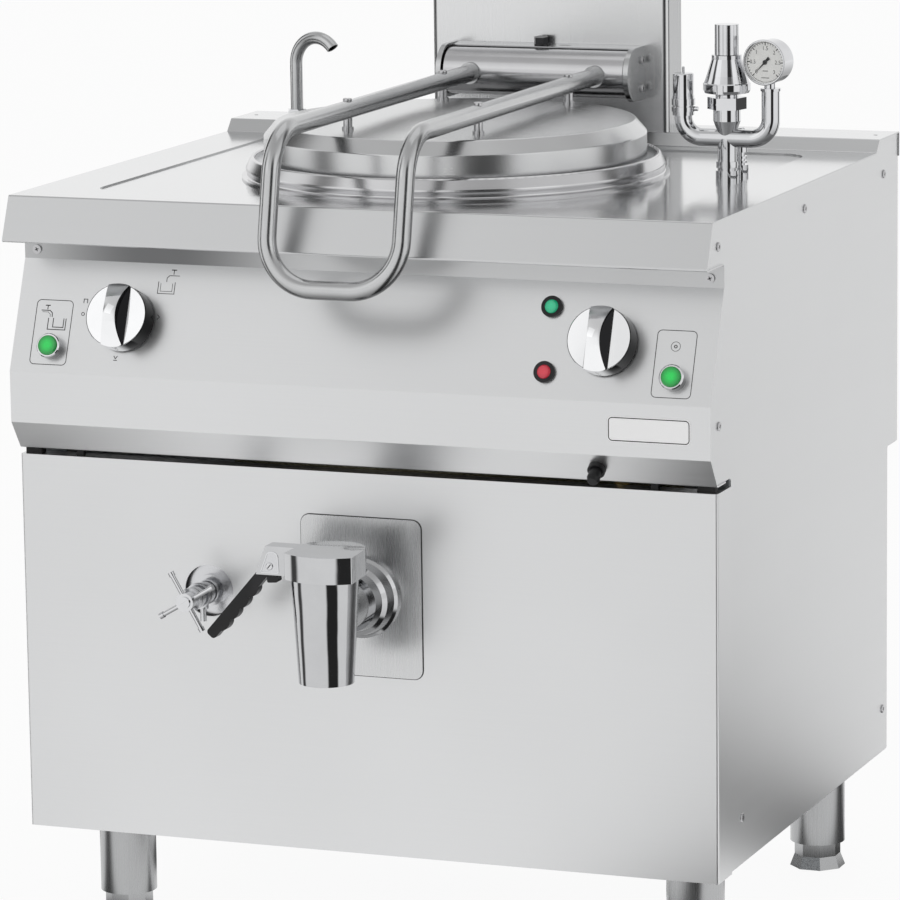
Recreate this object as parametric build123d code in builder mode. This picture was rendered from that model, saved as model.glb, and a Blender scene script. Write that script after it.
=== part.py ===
"""Gas-heated indirect boiling pan (steam jacketed kettle) on an 800 mm cabinet.

Millimetres, +Z up, +X to the right, the controls face -Y. The origin is on the floor, under the
centre of the whole outline, drain tap included. Setbacks are measured towards the back from the
front edge of the worktop. Every node is written to parts/ as its own STEP file.
"""

import os
from math import cos, hypot, radians, sin, sqrt

from build123d import *

# ---------------------------------------------------------------- driving dimensions
# cabinet
width = 800  # over the side panels
worktop_height = 830  # with the feet screwed right in
body_depth = 683  # worktop front edge to the back of the upper body
side_inset = 1.5  # side panels stand in from the full width
sheet = 1.5  # panel steel
bend = 2.5  # outside bend radius of the panels
seat_gap = 0.3  # rest clearance between a moving piece and its stop
service_recess = 40  # how far the lower back is set in for the pipes
service_top = 483
panel_bottom = 126
upstand_depth = 80
upstand_rise = 14
upstand_lean = 13
vent_place = 200
vent_drop = 180
vent_length = 160
vent_gap = 6
vent_pitch = 16
vent_rows = 8
entry_place = 250
entry_height = 200
entry_pitch = 70
gas_entry = 14
water_entry = 12
air_hole = (320, 260)
air_corner = 20
strip_screw_inset = 15
side_screw_drop = 28
side_screw_rise = 52
side_screw_front = 22
side_screw_middle = 322
side_screw_rear = 59
low_screw_front = 96
nose_screw_drop = 25
stop_inset = 70

# worktop front, console and front panel
apron_drop = 49
apron_lean = 20.4
strip_setback = 36.7
strip_height = 24.5
console_rise = 117.5
nose_setback = -9.5
nose_height = 56
chamfer_rise = 32
panel_setback = 12
panel_gap = 7
panel_return = 45
side_gap = 3

# kettle and lid
kettle_setback = 306
vessel_radius = 200
vessel_wall = 2
jacket_gap = 28
jacket_wall = 3
jacket_top = worktop_height - 190
insulation = 18
collar_foot_radius = 237
collar_rise = 22
rim_level = worktop_height + 16  # top of the flange that the lid rests on
lid_radius = 212
lid_band = 28.5
lid_cone_rise = 17
lid_cone_run = 13
lid_wall = 1.5

# handle and hinge
handle_spread = 76  # arm centres each side of the middle
handle_radius = 10
handle_bore = 8.5
handle_height = rim_level + 66
handle_setback = -27  # corner where the arms turn down
grip_setback = -60
grip_height = handle_height - 161
grip_bend = 55
standoff_setbacks = (kettle_setback - 127, kettle_setback + 159)
standoff_radius = 5
drum_setback = body_depth - 104
drum_radius = 27
drum_wall = 2.5
hinge_rod_radius = 10
end_plate_radius = 31
end_plate_thickness = 6
end_plate_place = 111.5  # inner face of each end plate
running_fit = 0.1

# flue column
column_width = 290
column_depth = 55
column_setback = body_depth - 73
column_top = worktop_height + 262
column_corner = 7
cap_height = 8

# filler spout
spout_x = 69 - width / 2
spout_setback = body_depth - 42
spout_radius = 7.5
spout_bore = 6.2
spout_turn = -15
spout_nut = 10
spout_nut_height = 9
spout_neck = 9.3
spout_tail = 20
spout_arc = 31
spout_axis_height = worktop_height + 78
spout_sweep = 140

# safety group on the right of the worktop
safety_x = width / 2 - 98
safety_setback = kettle_setback + 42
branch_reach = 50
branch_radius = 10
branch_bend = 22
branch_height = worktop_height + 43
stem_radius = 10.5
vacuum_seat = worktop_height + 67
valve_seat = worktop_height + 68
feed_pipe = 5
feed_setback = 44
gauge_seat = worktop_height + 99
gauge_radius = 25
gauge_depth = 28
gauge_height = worktop_height + 128
gauge_turn = -8
dial_recess = 5
gauge_wall = 1.6

# knobs, buttons, lamps on the sloping console
knob_places = (129 - width / 2, width / 2 - 121)
knob_drop = 64.5
knob_radius = 35
knob_skirt = 26
knob_grip = 20
knob_shaft = 4
button_places = (46 - width / 2, width / 2 - 43)
button_drop = 98
bezel_radius = 13.5
bezel_height = 13
button_radius = 10.8
button_proud = 2.5
button_stem = 5
lamp_place = width / 2 - 185
lamp_drops = (28, 98)
lamp_radius = 11.5
lens_radius = 7.5
igniter_x = width / 2 - 128
igniter_radius = 9.5

# drain tap in the middle of the front, level tap to its left
drain_height = 410
vessel_bottom = drain_height - 45
jacket_bottom = vessel_bottom - 35
tap_reach = 102
tap_pipe = 25
tap_plate = (138, 173)
tap_plate_sheet = 1.5
spout_top_radius = 36
spout_foot_radius = 29.5
spout_foot = drain_height - 71
cap_bottom = drain_height + 42
cap_thickness = 28
cap_front = 40
cap_back = 52
cap_side = 40
plug_fit = 0.3
plug_foot = drain_height - 38
ear_front = 8
ear_width = 22
ear_bottom = drain_height + 38
lever_length = 108
lever_width = 12
lever_angle = 49
lever_thickness = 12
lever_pivot = (-68.5, drain_height + 48)
pin_radius = 3
level_x = -178.5
level_height = drain_height - 5
level_reach = 66
level_hole = 28.5
cross_radius = 36

# legs
leg_x = width / 2 - 64
leg_front_setback = 126
leg_rear_setback = body_depth - 111
leg_radius = 31.5
leg_wall = 2
leg_bottom = 30
foot_travel = 40
foot_stem = 10
foot_flats = 29.5

# worktop recess, frame and vessel details
recess_width = width - 140
recess_front = 60
recess_depth = body_depth - 183
recess_edge = 6
tray_wall = 40
post = 30
post_wall = 2
flange_radius = 222
dish_corner = 30
jacket_corner = 70

# burner, flue duct and pipes
burner_radius = 120
burner_tube = 14
gas_pipe_radius = 8
filler_pipe_radius = 6
valve_depth = 52
flue_depth = 34
flue_setback = body_depth - 59.5
flue_width = 200
stub_height = 60

# lid crown, hinge drum and bracket, knob ring
lid_crown = 2
lid_crown_radius = 60
drum_gap = 2
bracket_lip = 23
lip_drop = 2
bracket_sheet = 2.5
ring_height = 4

# small sizes of single pieces
console_flange = 28
recess_corner = 30
flue_lip_side = 15
flue_lip_end = 6
shelf_hole_inset = 16
foot_height = 14
foot_step = 5
foot_engagement = 38
cap_skirt = 14
cap_slots = 16
cap_slot_pitch = 16
cap_slot_width = 8
duct_opening = 120
duct_rise = 10
nut_flats = 15
nut_rise = 8
bracket_slot_place = 24
level_nose_drop = 30
level_nose_reach = 17
scoop_radius = 49
scoop_place = 58
switch_block = 26
switch_depth = 34
union_depth = 38
igniter_travel = 16
seat_reach = 300

# ---------------------------------------------------------------- derived places
rear = (body_depth + tap_reach + cap_front - panel_setback) / 2
front = rear - body_depth
half = width / 2
body_half = half - side_inset
inner_half = body_half - sheet
apron_bottom = worktop_height - apron_drop
console_top = apron_bottom - strip_height
crease = console_top - console_rise
nose_bottom = crease - nose_height
console_bottom = nose_bottom - chamfer_rise
chamfer_setback = panel_setback + 0.5
panel_top = console_bottom - panel_gap
panel_face = front + panel_setback
side_front = panel_setback + panel_return + side_gap
upstand_front = body_depth - upstand_depth
upstand_top = worktop_height + upstand_rise
recess_floor = worktop_height - sheet
kettle_y = front + kettle_setback
drum_y = front + drum_setback
safety_y = front + safety_setback
feed_x = safety_x + 1
feed_y = safety_y + feed_setback
tap_y = panel_face - tap_reach
lower_rear = body_depth - service_recess
lid_bottom = rim_level + seat_gap
lid_shoulder = lid_bottom + lid_band
lid_top = lid_shoulder + lid_cone_rise
column_y = front + column_setback + column_depth / 2

os.makedirs("parts", exist_ok=True)


def save(piece, name):
    """Labels a finished piece and writes its STEP file."""
    piece.part.label = name
    export_step(piece.part, f"parts/{name}.step")


def side(points):
    """Side-view points given as (setback, height), as (y, z) of the model."""
    return [(front + setback, height) for setback, height in points]


def upright(x, y, z=0):
    """A vertical plane through (x, y), facing the front, for profiles turned about its Z axis."""
    return Plane(origin=(x, y, z), x_dir=(1, 0, 0), z_dir=(0, -1, 0))


def vertical(x, y):
    """The vertical axis through (x, y)."""
    return Axis((x, y, 0), (0, 0, 1))


# ---------------------------------------------------------------- worktop and console
worktop_line = [
    (strip_setback, console_top),
    (strip_setback, apron_bottom),
    (-apron_lean, apron_bottom),
    (0, worktop_height),
    (upstand_front - upstand_lean, worktop_height),
    (upstand_front, upstand_top),
    (body_depth, upstand_top),
    (body_depth, worktop_height - upstand_rise),
]
console_line = [
    (strip_setback, console_top),
    (nose_setback, crease),
    (nose_setback, nose_bottom),
    (chamfer_setback, console_bottom),
    (chamfer_setback + console_flange, console_bottom),
]
shelf_line = [
    (body_depth, worktop_height - upstand_rise),
    (body_depth, service_top),
    (lower_rear, service_top),
    (lower_rear, panel_bottom),
]
worktop_hole = collar_foot_radius - 9

with BuildPart() as worktop:
    with BuildSketch(Plane.YZ):
        with BuildLine():
            FilletPolyline(*side(worktop_line), radius=bend)
            offset(amount=sheet, side=Side.RIGHT)
        make_face()
    extrude(amount=half, both=True)
    with BuildSketch(Plane.XY.offset(recess_floor)):
        with Locations((0, front + recess_front + recess_depth / 2)):
            RectangleRounded(recess_width, recess_depth, recess_corner)
    extrude(amount=sheet, mode=Mode.SUBTRACT)
    with BuildSketch(Plane.XY.offset(recess_floor)):
        with Locations((0, front + recess_front + recess_depth / 2)):
            RectangleRounded(
                recess_width + 2 * recess_edge,
                recess_depth + 2 * recess_edge,
                recess_corner + recess_edge,
            )
    extrude(amount=-sheet)
    with BuildSketch(Plane.XY.offset(recess_floor - sheet)):
        with Locations((0, kettle_y)):
            Circle(worktop_hole)
        with Locations((safety_x, safety_y)):
            Circle(stem_radius + 1)
        with Locations((feed_x, feed_y)):
            Circle(feed_pipe + 0.5)
    extrude(amount=2 * sheet, mode=Mode.SUBTRACT)
    with BuildSketch(Plane.XY.offset(upstand_top - sheet)):
        with Locations((0, column_y)):
            RectangleRounded(column_width - 2 * flue_lip_side, column_depth - 2 * flue_lip_end, flue_lip_end)
        with Locations((spout_x, front + spout_setback)):
            Circle(spout_neck)
        with Locations(
            (shelf_hole_inset - half, front + spout_setback),
            (half - shelf_hole_inset, front + spout_setback),
        ):
            Circle(2.5)
    extrude(amount=2 * sheet, mode=Mode.SUBTRACT)
save(worktop, "worktop")

slope_length = hypot(strip_setback - nose_setback, console_rise)
slope_out = (0, -console_rise / slope_length, (strip_setback - nose_setback) / slope_length)
console_face = Plane(origin=(0, front + strip_setback, console_top), x_dir=(1, 0, 0), z_dir=slope_out)
chamfer_length = hypot(chamfer_setback - nose_setback, chamfer_rise)
chamfer_out = (0, -chamfer_rise / chamfer_length, -(chamfer_setback - nose_setback) / chamfer_length)
chamfer_face = Plane(
    origin=(igniter_x, front + (nose_setback + chamfer_setback) / 2, (nose_bottom + console_bottom) / 2),
    x_dir=(1, 0, 0),
    z_dir=chamfer_out,
)


def on_console(x, drop):
    """The plane of a control, x across and drop down the slope from its top edge, facing out."""
    return Plane(origin=console_face.from_local_coords((x, -drop, 0)), x_dir=(1, 0, 0), z_dir=slope_out)


with BuildPart() as control_panel:
    with BuildSketch(Plane.YZ):
        with BuildLine():
            FilletPolyline(*side(console_line), radius=bend)
            offset(amount=sheet, side=Side.LEFT)
        make_face()
    extrude(amount=half, both=True)
    with BuildSketch(console_face):
        with Locations(*[(x, -knob_drop) for x in knob_places]):
            Circle(knob_shaft + 1)
        with Locations(*[(x, -button_drop) for x in button_places]):
            Circle(bezel_radius - 3)
        with Locations(*[(lamp_place, -drop) for drop in lamp_drops]):
            Circle(lens_radius)
    extrude(amount=-2 * sheet, mode=Mode.SUBTRACT)
    with BuildSketch(chamfer_face):
        Circle(igniter_radius - 1)
    extrude(amount=-2 * sheet, mode=Mode.SUBTRACT)
save(control_panel, "control_panel")

# ---------------------------------------------------------------- panels
with BuildPart() as rear_panel:
    with BuildSketch(Plane.YZ):
        with BuildLine():
            FilletPolyline(*side(shelf_line), radius=bend)
            offset(amount=sheet, side=Side.RIGHT)
        make_face()
    extrude(amount=inner_half, both=True)
    with BuildSketch(Plane.XZ.offset(-rear + 2 * sheet)):
        with GridLocations(0, vent_pitch, 1, vent_rows):
            with Locations(
                (-vent_place, worktop_height - vent_drop),
                (vent_place, worktop_height - vent_drop),
            ):
                SlotOverall(vent_length, vent_gap)
    extrude(amount=-4 * sheet, mode=Mode.SUBTRACT)
    with BuildSketch(Plane.XZ.offset(-front - lower_rear + 2 * sheet)):
        with Locations((entry_place, entry_height)):
            Circle(gas_entry)
        with Locations((-entry_place, entry_height), (entry_pitch - entry_place, entry_height)):
            Circle(water_entry)
    extrude(amount=-4 * sheet, mode=Mode.SUBTRACT)
save(rear_panel, "rear_panel")

side_outline = [
    (side_front, panel_bottom),
    (side_front, console_bottom),
    (chamfer_setback, console_bottom),
    (nose_setback, nose_bottom),
    (nose_setback, crease),
    (strip_setback, console_top),
    (strip_setback, apron_bottom),
    (-apron_lean, apron_bottom),
    (0, worktop_height),
    (upstand_front - upstand_lean, worktop_height),
    (upstand_front, upstand_top),
    (body_depth, upstand_top),
    (body_depth, service_top),
    (lower_rear, service_top),
    (lower_rear, panel_bottom),
]
for hand, name in ((-1, "side_panel_left"), (1, "side_panel_right")):
    with BuildPart() as side_panel:
        with BuildSketch(Plane.YZ.offset(hand * inner_half)):
            with BuildLine():
                FilletPolyline(*side(side_outline), radius=bend, close=True)
            make_face()
            offset(amount=-sheet)
        extrude(amount=hand * sheet)
    save(side_panel, name)

with BuildPart() as front_panel:
    panel_height = panel_top - panel_bottom
    panel_middle = (panel_top + panel_bottom) / 2
    with BuildSketch(Plane.XZ.offset(-panel_face - panel_return)):
        with Locations((0, panel_middle)):
            Rectangle(width, panel_height)
    extrude(amount=panel_return)
    fillet(front_panel.edges().filter_by(Axis.Z).group_by(Axis.Y)[0], bend)
    with BuildSketch(Plane.XZ.offset(-panel_face - panel_return)):
        with Locations((0, panel_middle)):
            Rectangle(width - 2 * sheet, panel_height - 2 * sheet)
    extrude(amount=panel_return - sheet, mode=Mode.SUBTRACT)
    with BuildSketch(Plane.XZ.offset(-panel_face - panel_return)):
        with Locations((0, panel_middle)):
            Rectangle(width - 4 * sheet, panel_height + 2)
    extrude(amount=panel_return / 2, mode=Mode.SUBTRACT)
    with BuildSketch(Plane.XZ.offset(-panel_face - panel_return)):
        with Locations((0, drain_height)):
            Circle(tap_pipe + 8)
        with Locations((level_x, level_height)):
            Circle(level_hole)
    extrude(amount=panel_return, mode=Mode.SUBTRACT)
save(front_panel, "front_panel")

# ---------------------------------------------------------------- frame, legs and feet
frame_front = front + side_front
frame_back = front + lower_rear - sheet
frame_depth = frame_back - frame_front
frame_middle = (frame_front + frame_back) / 2
leg_places = [
    (side_x * leg_x, front + setback)
    for setback in (leg_front_setback, leg_rear_setback)
    for side_x in (-1, 1)
]

with BuildPart() as base_frame:
    with BuildSketch(Plane.XY.offset(panel_bottom)):
        with Locations((0, frame_middle)):
            Rectangle(2 * inner_half, frame_depth)
    extrude(amount=tray_wall)
    with BuildSketch(Plane.XY.offset(panel_bottom + post_wall)):
        with Locations((0, frame_middle)):
            Rectangle(2 * (inner_half - post_wall), frame_depth - 2 * post_wall)
    extrude(amount=tray_wall, mode=Mode.SUBTRACT)
    with BuildSketch(Plane.XY.offset(panel_bottom)):
        with Locations((0, kettle_y)):
            RectangleRounded(*air_hole, air_corner)
    extrude(amount=post_wall, mode=Mode.SUBTRACT)
    with BuildSketch(Plane.XY.offset(panel_bottom + post_wall)):
        for hand_x in (-1, 1):
            for corner_y, hand_y in ((frame_front, 1), (frame_back, -1)):
                with Locations((hand_x * (inner_half - post / 2), corner_y + hand_y * post_wall / 2)):
                    Rectangle(post, post_wall)
                with Locations((hand_x * (inner_half - post_wall / 2), corner_y + hand_y * post / 2)):
                    Rectangle(post_wall, post)
    extrude(amount=recess_floor - sheet - panel_bottom - post_wall)
    with BuildSketch(Plane.XY.offset(recess_floor - sheet - post)):
        for hand_x in (-1, 1):
            with Locations((hand_x * (inner_half - post_wall / 2), frame_middle)):
                Rectangle(post_wall, frame_depth)
    extrude(amount=post)
save(base_frame, "base_frame")

with BuildPart() as leg_tubes:
    with BuildSketch(Plane.XY.offset(leg_bottom)):
        with Locations(*leg_places):
            Circle(leg_radius)
            Circle(leg_radius - leg_wall, mode=Mode.SUBTRACT)
    extrude(amount=panel_bottom - leg_bottom)
    with BuildSketch(Plane.XY.offset(leg_bottom)):
        with Locations(*leg_places):
            Circle(leg_radius - leg_wall)
            Circle(foot_stem + running_fit, mode=Mode.SUBTRACT)
    extrude(amount=14)
save(leg_tubes, "leg_tubes")

foot_names = ("foot_front_left", "foot_front_right", "foot_rear_left", "foot_rear_right")
for (x, y), name in zip(leg_places, foot_names):
    with BuildPart() as foot:
        with BuildSketch(Plane((x, y, 0))):
            RegularPolygon(foot_flats, 8, major_radius=False, rotation=22.5)
        with BuildSketch(Plane((x, y, foot_height))):
            RegularPolygon(foot_flats - foot_step, 8, major_radius=False, rotation=22.5)
        loft()
        with BuildSketch(Plane((x, y, foot_height))):
            RegularPolygon(foot_flats - foot_step, 8, major_radius=False, rotation=22.5)
        extrude(amount=leg_bottom - seat_gap - foot_height)
        with BuildSketch(Plane((x, y, leg_bottom - seat_gap))):
            Circle(foot_stem)
        extrude(amount=foot_travel + foot_engagement)
    save(foot, name)

# ---------------------------------------------------------------- vessel, jacket and collar
outlet_bore = tap_pipe - 3
jacket_radius = vessel_radius + vessel_wall + jacket_gap + jacket_wall
kettle_axis = vertical(0, kettle_y)
kettle_plane = upright(0, kettle_y)
through_wall = Plane(
    origin=(0, kettle_y - vessel_radius + 30, drain_height),
    x_dir=(1, 0, 0),
    z_dir=(0, -1, 0),
)
wall_to_panel = through_wall.origin.Y - panel_face
level_plane = Plane(origin=(level_x, kettle_y, level_height), x_dir=(1, 0, 0), z_dir=(0, -1, 0))

with BuildPart() as kettle_vessel:
    with BuildSketch(kettle_plane):
        with BuildLine():
            FilletPolyline(
                (0, vessel_bottom),
                (vessel_radius + vessel_wall, vessel_bottom),
                (vessel_radius + vessel_wall, rim_level - vessel_wall),
                (flange_radius, rim_level - vessel_wall),
                radius=[dish_corner, 3],
            )
            offset(amount=vessel_wall, side=Side.LEFT)
        make_face()
    revolve(axis=kettle_axis)
    with BuildSketch(through_wall):
        Circle(tap_pipe)
    extrude(amount=60, mode=Mode.SUBTRACT)
save(kettle_vessel, "kettle_vessel")

with BuildPart() as collar:
    with BuildSketch(kettle_plane):
        with BuildLine():
            FilletPolyline(
                (collar_foot_radius, recess_floor + vessel_wall),
                (collar_foot_radius - 7, recess_floor + vessel_wall + 1),
                (collar_foot_radius - 4.5, recess_floor + 11),
                (collar_foot_radius - 10.6, worktop_height + collar_rise),
                (flange_radius, worktop_height + collar_rise),
                (flange_radius, rim_level - vessel_wall),
                radius=[2.2, 4, 3, 2],
            )
            offset(amount=vessel_wall, side=Side.LEFT)
        make_face()
    revolve(axis=kettle_axis)
save(collar, "collar")

with BuildPart() as jacket_shell:
    with BuildSketch(kettle_plane):
        with BuildLine():
            FilletPolyline(
                (0, jacket_bottom),
                (jacket_radius, jacket_bottom),
                (jacket_radius, jacket_top),
                (vessel_radius + vessel_wall, jacket_top),
                radius=[jacket_corner, 15],
            )
            offset(amount=jacket_wall, side=Side.LEFT)
        make_face()
    revolve(axis=kettle_axis)
    with BuildSketch(through_wall):
        Circle(tap_pipe)
    extrude(amount=90, mode=Mode.SUBTRACT)
save(jacket_shell, "jacket_shell")

with BuildPart() as insulation_wrap:
    with BuildSketch(Plane.XY.offset(jacket_bottom + jacket_corner)):
        with Locations((0, kettle_y)):
            Circle(jacket_radius + insulation)
            Circle(jacket_radius, mode=Mode.SUBTRACT)
    extrude(amount=jacket_top - 15 - jacket_bottom - jacket_corner)
    with BuildSketch(through_wall):
        Circle(tap_pipe + 2)
    extrude(amount=120, mode=Mode.SUBTRACT)
    with BuildSketch(level_plane):
        Circle(8)
    extrude(amount=300, mode=Mode.SUBTRACT)
save(insulation_wrap, "insulation")

with BuildPart() as drain_pipe:
    with BuildSketch(through_wall):
        Circle(tap_pipe)
        Circle(outlet_bore, mode=Mode.SUBTRACT)
    extrude(amount=wall_to_panel)
    with BuildSketch(kettle_plane):
        with BuildLine():
            FilletPolyline(
                (0, vessel_bottom + vessel_wall),
                (vessel_radius, vessel_bottom + vessel_wall),
                (vessel_radius, rim_level),
                radius=dish_corner - vessel_wall,
            )
            Line((vessel_radius, rim_level), (0, rim_level))
            Line((0, rim_level), (0, vessel_bottom + vessel_wall))
        make_face()
    revolve(axis=kettle_axis, mode=Mode.SUBTRACT)
save(drain_pipe, "drain_pipe")

strainer_place = vessel_radius - 7
strainer_plane = Plane(origin=(0, kettle_y - strainer_place, drain_height), x_dir=(1, 0, 0), z_dir=(0, -1, 0))
with BuildPart() as strainer:
    with BuildSketch(strainer_plane):
        Circle(outlet_bore + 2)
        with PolarLocations(16, 10):
            Circle(3, mode=Mode.SUBTRACT)
        with PolarLocations(8, 5):
            Circle(2.5, mode=Mode.SUBTRACT)
    extrude(amount=-sheet)
    with BuildSketch(strainer_plane):
        Circle(outlet_bore - 0.2)
        Circle(outlet_bore - 1.7, mode=Mode.SUBTRACT)
    extrude(amount=24)
save(strainer, "strainer")

# ---------------------------------------------------------------- burner, flue and pipes
chamber_radius = vessel_radius
chamber_bottom = jacket_bottom - 94
burner_height = jacket_bottom - 68
gas_x = knob_places[1]
water_x = knob_places[0]
valve_back = on_console(0, knob_drop).offset(-sheet - valve_depth).origin
flue_y = front + flue_setback

with BuildPart() as fire_chamber:
    with BuildSketch(Plane.XY.offset(chamber_bottom)):
        with Locations((0, kettle_y)):
            Circle(chamber_radius)
            Circle(chamber_radius - sheet, mode=Mode.SUBTRACT)
    extrude(amount=jacket_bottom + 16 - chamber_bottom)
    with BuildSketch(kettle_plane):
        with BuildLine():
            FilletPolyline(
                (0, jacket_bottom),
                (jacket_radius, jacket_bottom),
                (jacket_radius, jacket_top),
                radius=jacket_corner,
            )
            Line((jacket_radius, jacket_top), (0, jacket_top))
            Line((0, jacket_top), (0, jacket_bottom))
        make_face()
    revolve(axis=kettle_axis, mode=Mode.SUBTRACT)
    with BuildSketch(Plane.YZ.offset(chamber_radius - 30)):
        with Locations((kettle_y, burner_height)):
            Circle(gas_pipe_radius + 1)
    extrude(amount=60, mode=Mode.SUBTRACT)
    with BuildSketch(Plane.XZ.offset(-flue_y)):
        with Locations((0, chamber_bottom + stub_height / 2 + duct_rise)):
            Rectangle(duct_opening, stub_height)
    extrude(amount=flue_y - kettle_y - 100, mode=Mode.SUBTRACT)

with BuildPart() as burner:
    with BuildSketch(upright(0, kettle_y)):
        with Locations((burner_radius, burner_height)):
            RectangleRounded(2 * burner_tube, 2 * burner_tube, 6)
    revolve(axis=kettle_axis)
    with BuildSketch(Plane.XY.offset(burner_height + burner_tube / 2)):
        with Locations((0, kettle_y)):
            with PolarLocations(burner_radius, 24, start_angle=7.5):
                Circle(2)
    extrude(amount=burner_tube, mode=Mode.SUBTRACT)
    with BuildSketch(Plane.YZ.offset(burner_radius)):
        with Locations((kettle_y, burner_height)):
            Circle(burner_tube - 3)
    extrude(amount=44)
    with BuildSketch(Plane.XY.offset(chamber_bottom)):
        with Locations((0, kettle_y)):
            Rectangle(2 * chamber_radius - 2 * sheet - 2, 24)
    extrude(amount=4)
    with BuildSketch(Plane.XY.offset(chamber_bottom)):
        with Locations((burner_radius, kettle_y), (-burner_radius, kettle_y)):
            Circle(6)
    extrude(amount=burner_height - burner_tube - chamber_bottom + 2)
save(burner, "burner")

with BuildPart() as flue_duct:
    with BuildSketch(Plane.XY.offset(chamber_bottom + duct_rise)):
        with Locations((0, flue_y)):
            Rectangle(flue_width, flue_depth)
    extrude(amount=upstand_top - sheet - duct_rise - chamber_bottom)
    with BuildSketch(Plane.XZ.offset(-flue_y)):
        with Locations((0, chamber_bottom + stub_height / 2 + duct_rise)):
            Rectangle(duct_opening, stub_height)
    extrude(amount=flue_y - kettle_y - 100)
    with BuildSketch(Plane.XY.offset(chamber_bottom + duct_rise + sheet)):
        with Locations((0, flue_y)):
            Rectangle(flue_width - 2 * sheet, flue_depth - 2 * sheet)
    extrude(amount=worktop_height, mode=Mode.SUBTRACT)
    with BuildSketch(Plane.XZ.offset(-flue_y)):
        with Locations((0, chamber_bottom + stub_height / 2 + duct_rise)):
            Rectangle(duct_opening - 2 * sheet, stub_height - 2 * sheet)
    extrude(amount=flue_y - kettle_y - 100, mode=Mode.SUBTRACT)
    with BuildSketch(Plane.XY.offset(chamber_bottom)):
        with Locations((0, kettle_y)):
            Circle(chamber_radius)
    extrude(amount=jacket_bottom - chamber_bottom, mode=Mode.SUBTRACT)
    add(fire_chamber.part)
save(flue_duct, "flue_duct")

spout_y = front + spout_setback
gas_line = [
    (gas_x, valve_back.Y - 4, valve_back.Z - 19),
    (gas_x, valve_back.Y - 4, burner_height),
    (gas_x, kettle_y, burner_height),
    (burner_radius + 44, kettle_y, burner_height),
]
filler_line = [
    (water_x, valve_back.Y - 12, valve_back.Z + 6),
    (water_x, valve_back.Y + 70, valve_back.Z + 6),
    (spout_x, valve_back.Y + 70, valve_back.Z + 6),
    (spout_x, spout_y, valve_back.Z + 6),
    (spout_x, spout_y, upstand_top - sheet - spout_tail),
]
with BuildPart() as supply_pipes:
    for line, radius, corner in ((gas_line, gas_pipe_radius, 32), (filler_line, filler_pipe_radius, 24)):
        with BuildLine() as pipe_path:
            FilletPolyline(*line, radius=corner)
        with BuildSketch(Plane(origin=pipe_path.line @ 0, z_dir=pipe_path.line % 0)):
            Circle(radius)
        sweep()
save(supply_pipes, "supply_pipes")

with BuildPart() as control_valves:
    for x in knob_places:
        with BuildSketch(on_console(x, knob_drop).offset(-sheet)):
            RectangleRounded(44, 44, 6)
        extrude(amount=-valve_depth)
        with BuildSketch(on_console(x, knob_drop).offset(-sheet)):
            Circle(knob_shaft + running_fit)
        extrude(amount=-valve_depth / 2, mode=Mode.SUBTRACT)
    add(supply_pipes.part, mode=Mode.SUBTRACT)
save(control_valves, "control_valves")

# ---------------------------------------------------------------- flue column
with BuildPart() as flue_column:
    with BuildSketch(Plane.XY.offset(upstand_top)):
        with Locations((0, column_y)):
            RectangleRounded(column_width, column_depth, column_corner)
            RectangleRounded(
                column_width - 2 * sheet, column_depth - 2 * sheet, column_corner - sheet, mode=Mode.SUBTRACT
            )
    extrude(amount=column_top - upstand_top)
save(flue_column, "flue_column")

with BuildPart() as flue_cap:
    with BuildSketch(Plane.XY.offset(column_top)):
        with Locations((0, column_y)):
            RectangleRounded(column_width + 4, column_depth, column_corner)
    extrude(amount=cap_height)
    with BuildSketch(Plane.XY.offset(column_top - cap_skirt)):
        with Locations((0, column_y)):
            RectangleRounded(column_width - 2 * sheet, column_depth - 2 * sheet, column_corner - sheet)
    extrude(amount=14)
    with BuildSketch(Plane.XY.offset(column_top - cap_skirt)):
        with Locations((0, column_y)):
            RectangleRounded(column_width - 4 * sheet, column_depth - 4 * sheet, column_corner - 2 * sheet)
    extrude(amount=cap_skirt + cap_height - 2, mode=Mode.SUBTRACT)
    with BuildSketch(Plane.XY.offset(column_top - cap_skirt)):
        with Locations((0, column_y)):
            with GridLocations(cap_slot_pitch, 0, cap_slots, 1):
                RectangleRounded(cap_slot_width, column_depth - 18, 3.5)
    extrude(amount=cap_skirt + cap_height, mode=Mode.SUBTRACT)
    fillet(flue_cap.edges().group_by(Axis.Z)[-1].filter_by(lambda edge: edge.length > 200), 1)
save(flue_cap, "flue_cap")

# ---------------------------------------------------------------- filler spout
spout_plane = Plane(
    origin=(spout_x, spout_y, upstand_top),
    x_dir=(cos(radians(spout_turn)), sin(radians(spout_turn)), 0),
    z_dir=(sin(radians(spout_turn)), -cos(radians(spout_turn)), 0),
)
spout_rise = spout_axis_height - upstand_top

with BuildPart() as spout:
    with BuildLine(spout_plane) as spout_path:
        Line((0, -12), (0, spout_rise))
        CenterArc((spout_arc, spout_rise), spout_arc, 180, -spout_sweep)
    with BuildSketch(Plane(origin=spout_path.line @ 0, z_dir=(0, 0, 1))):
        Circle(spout_radius)
        Circle(spout_bore, mode=Mode.SUBTRACT)
    sweep()
save(spout, "spout")

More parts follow.
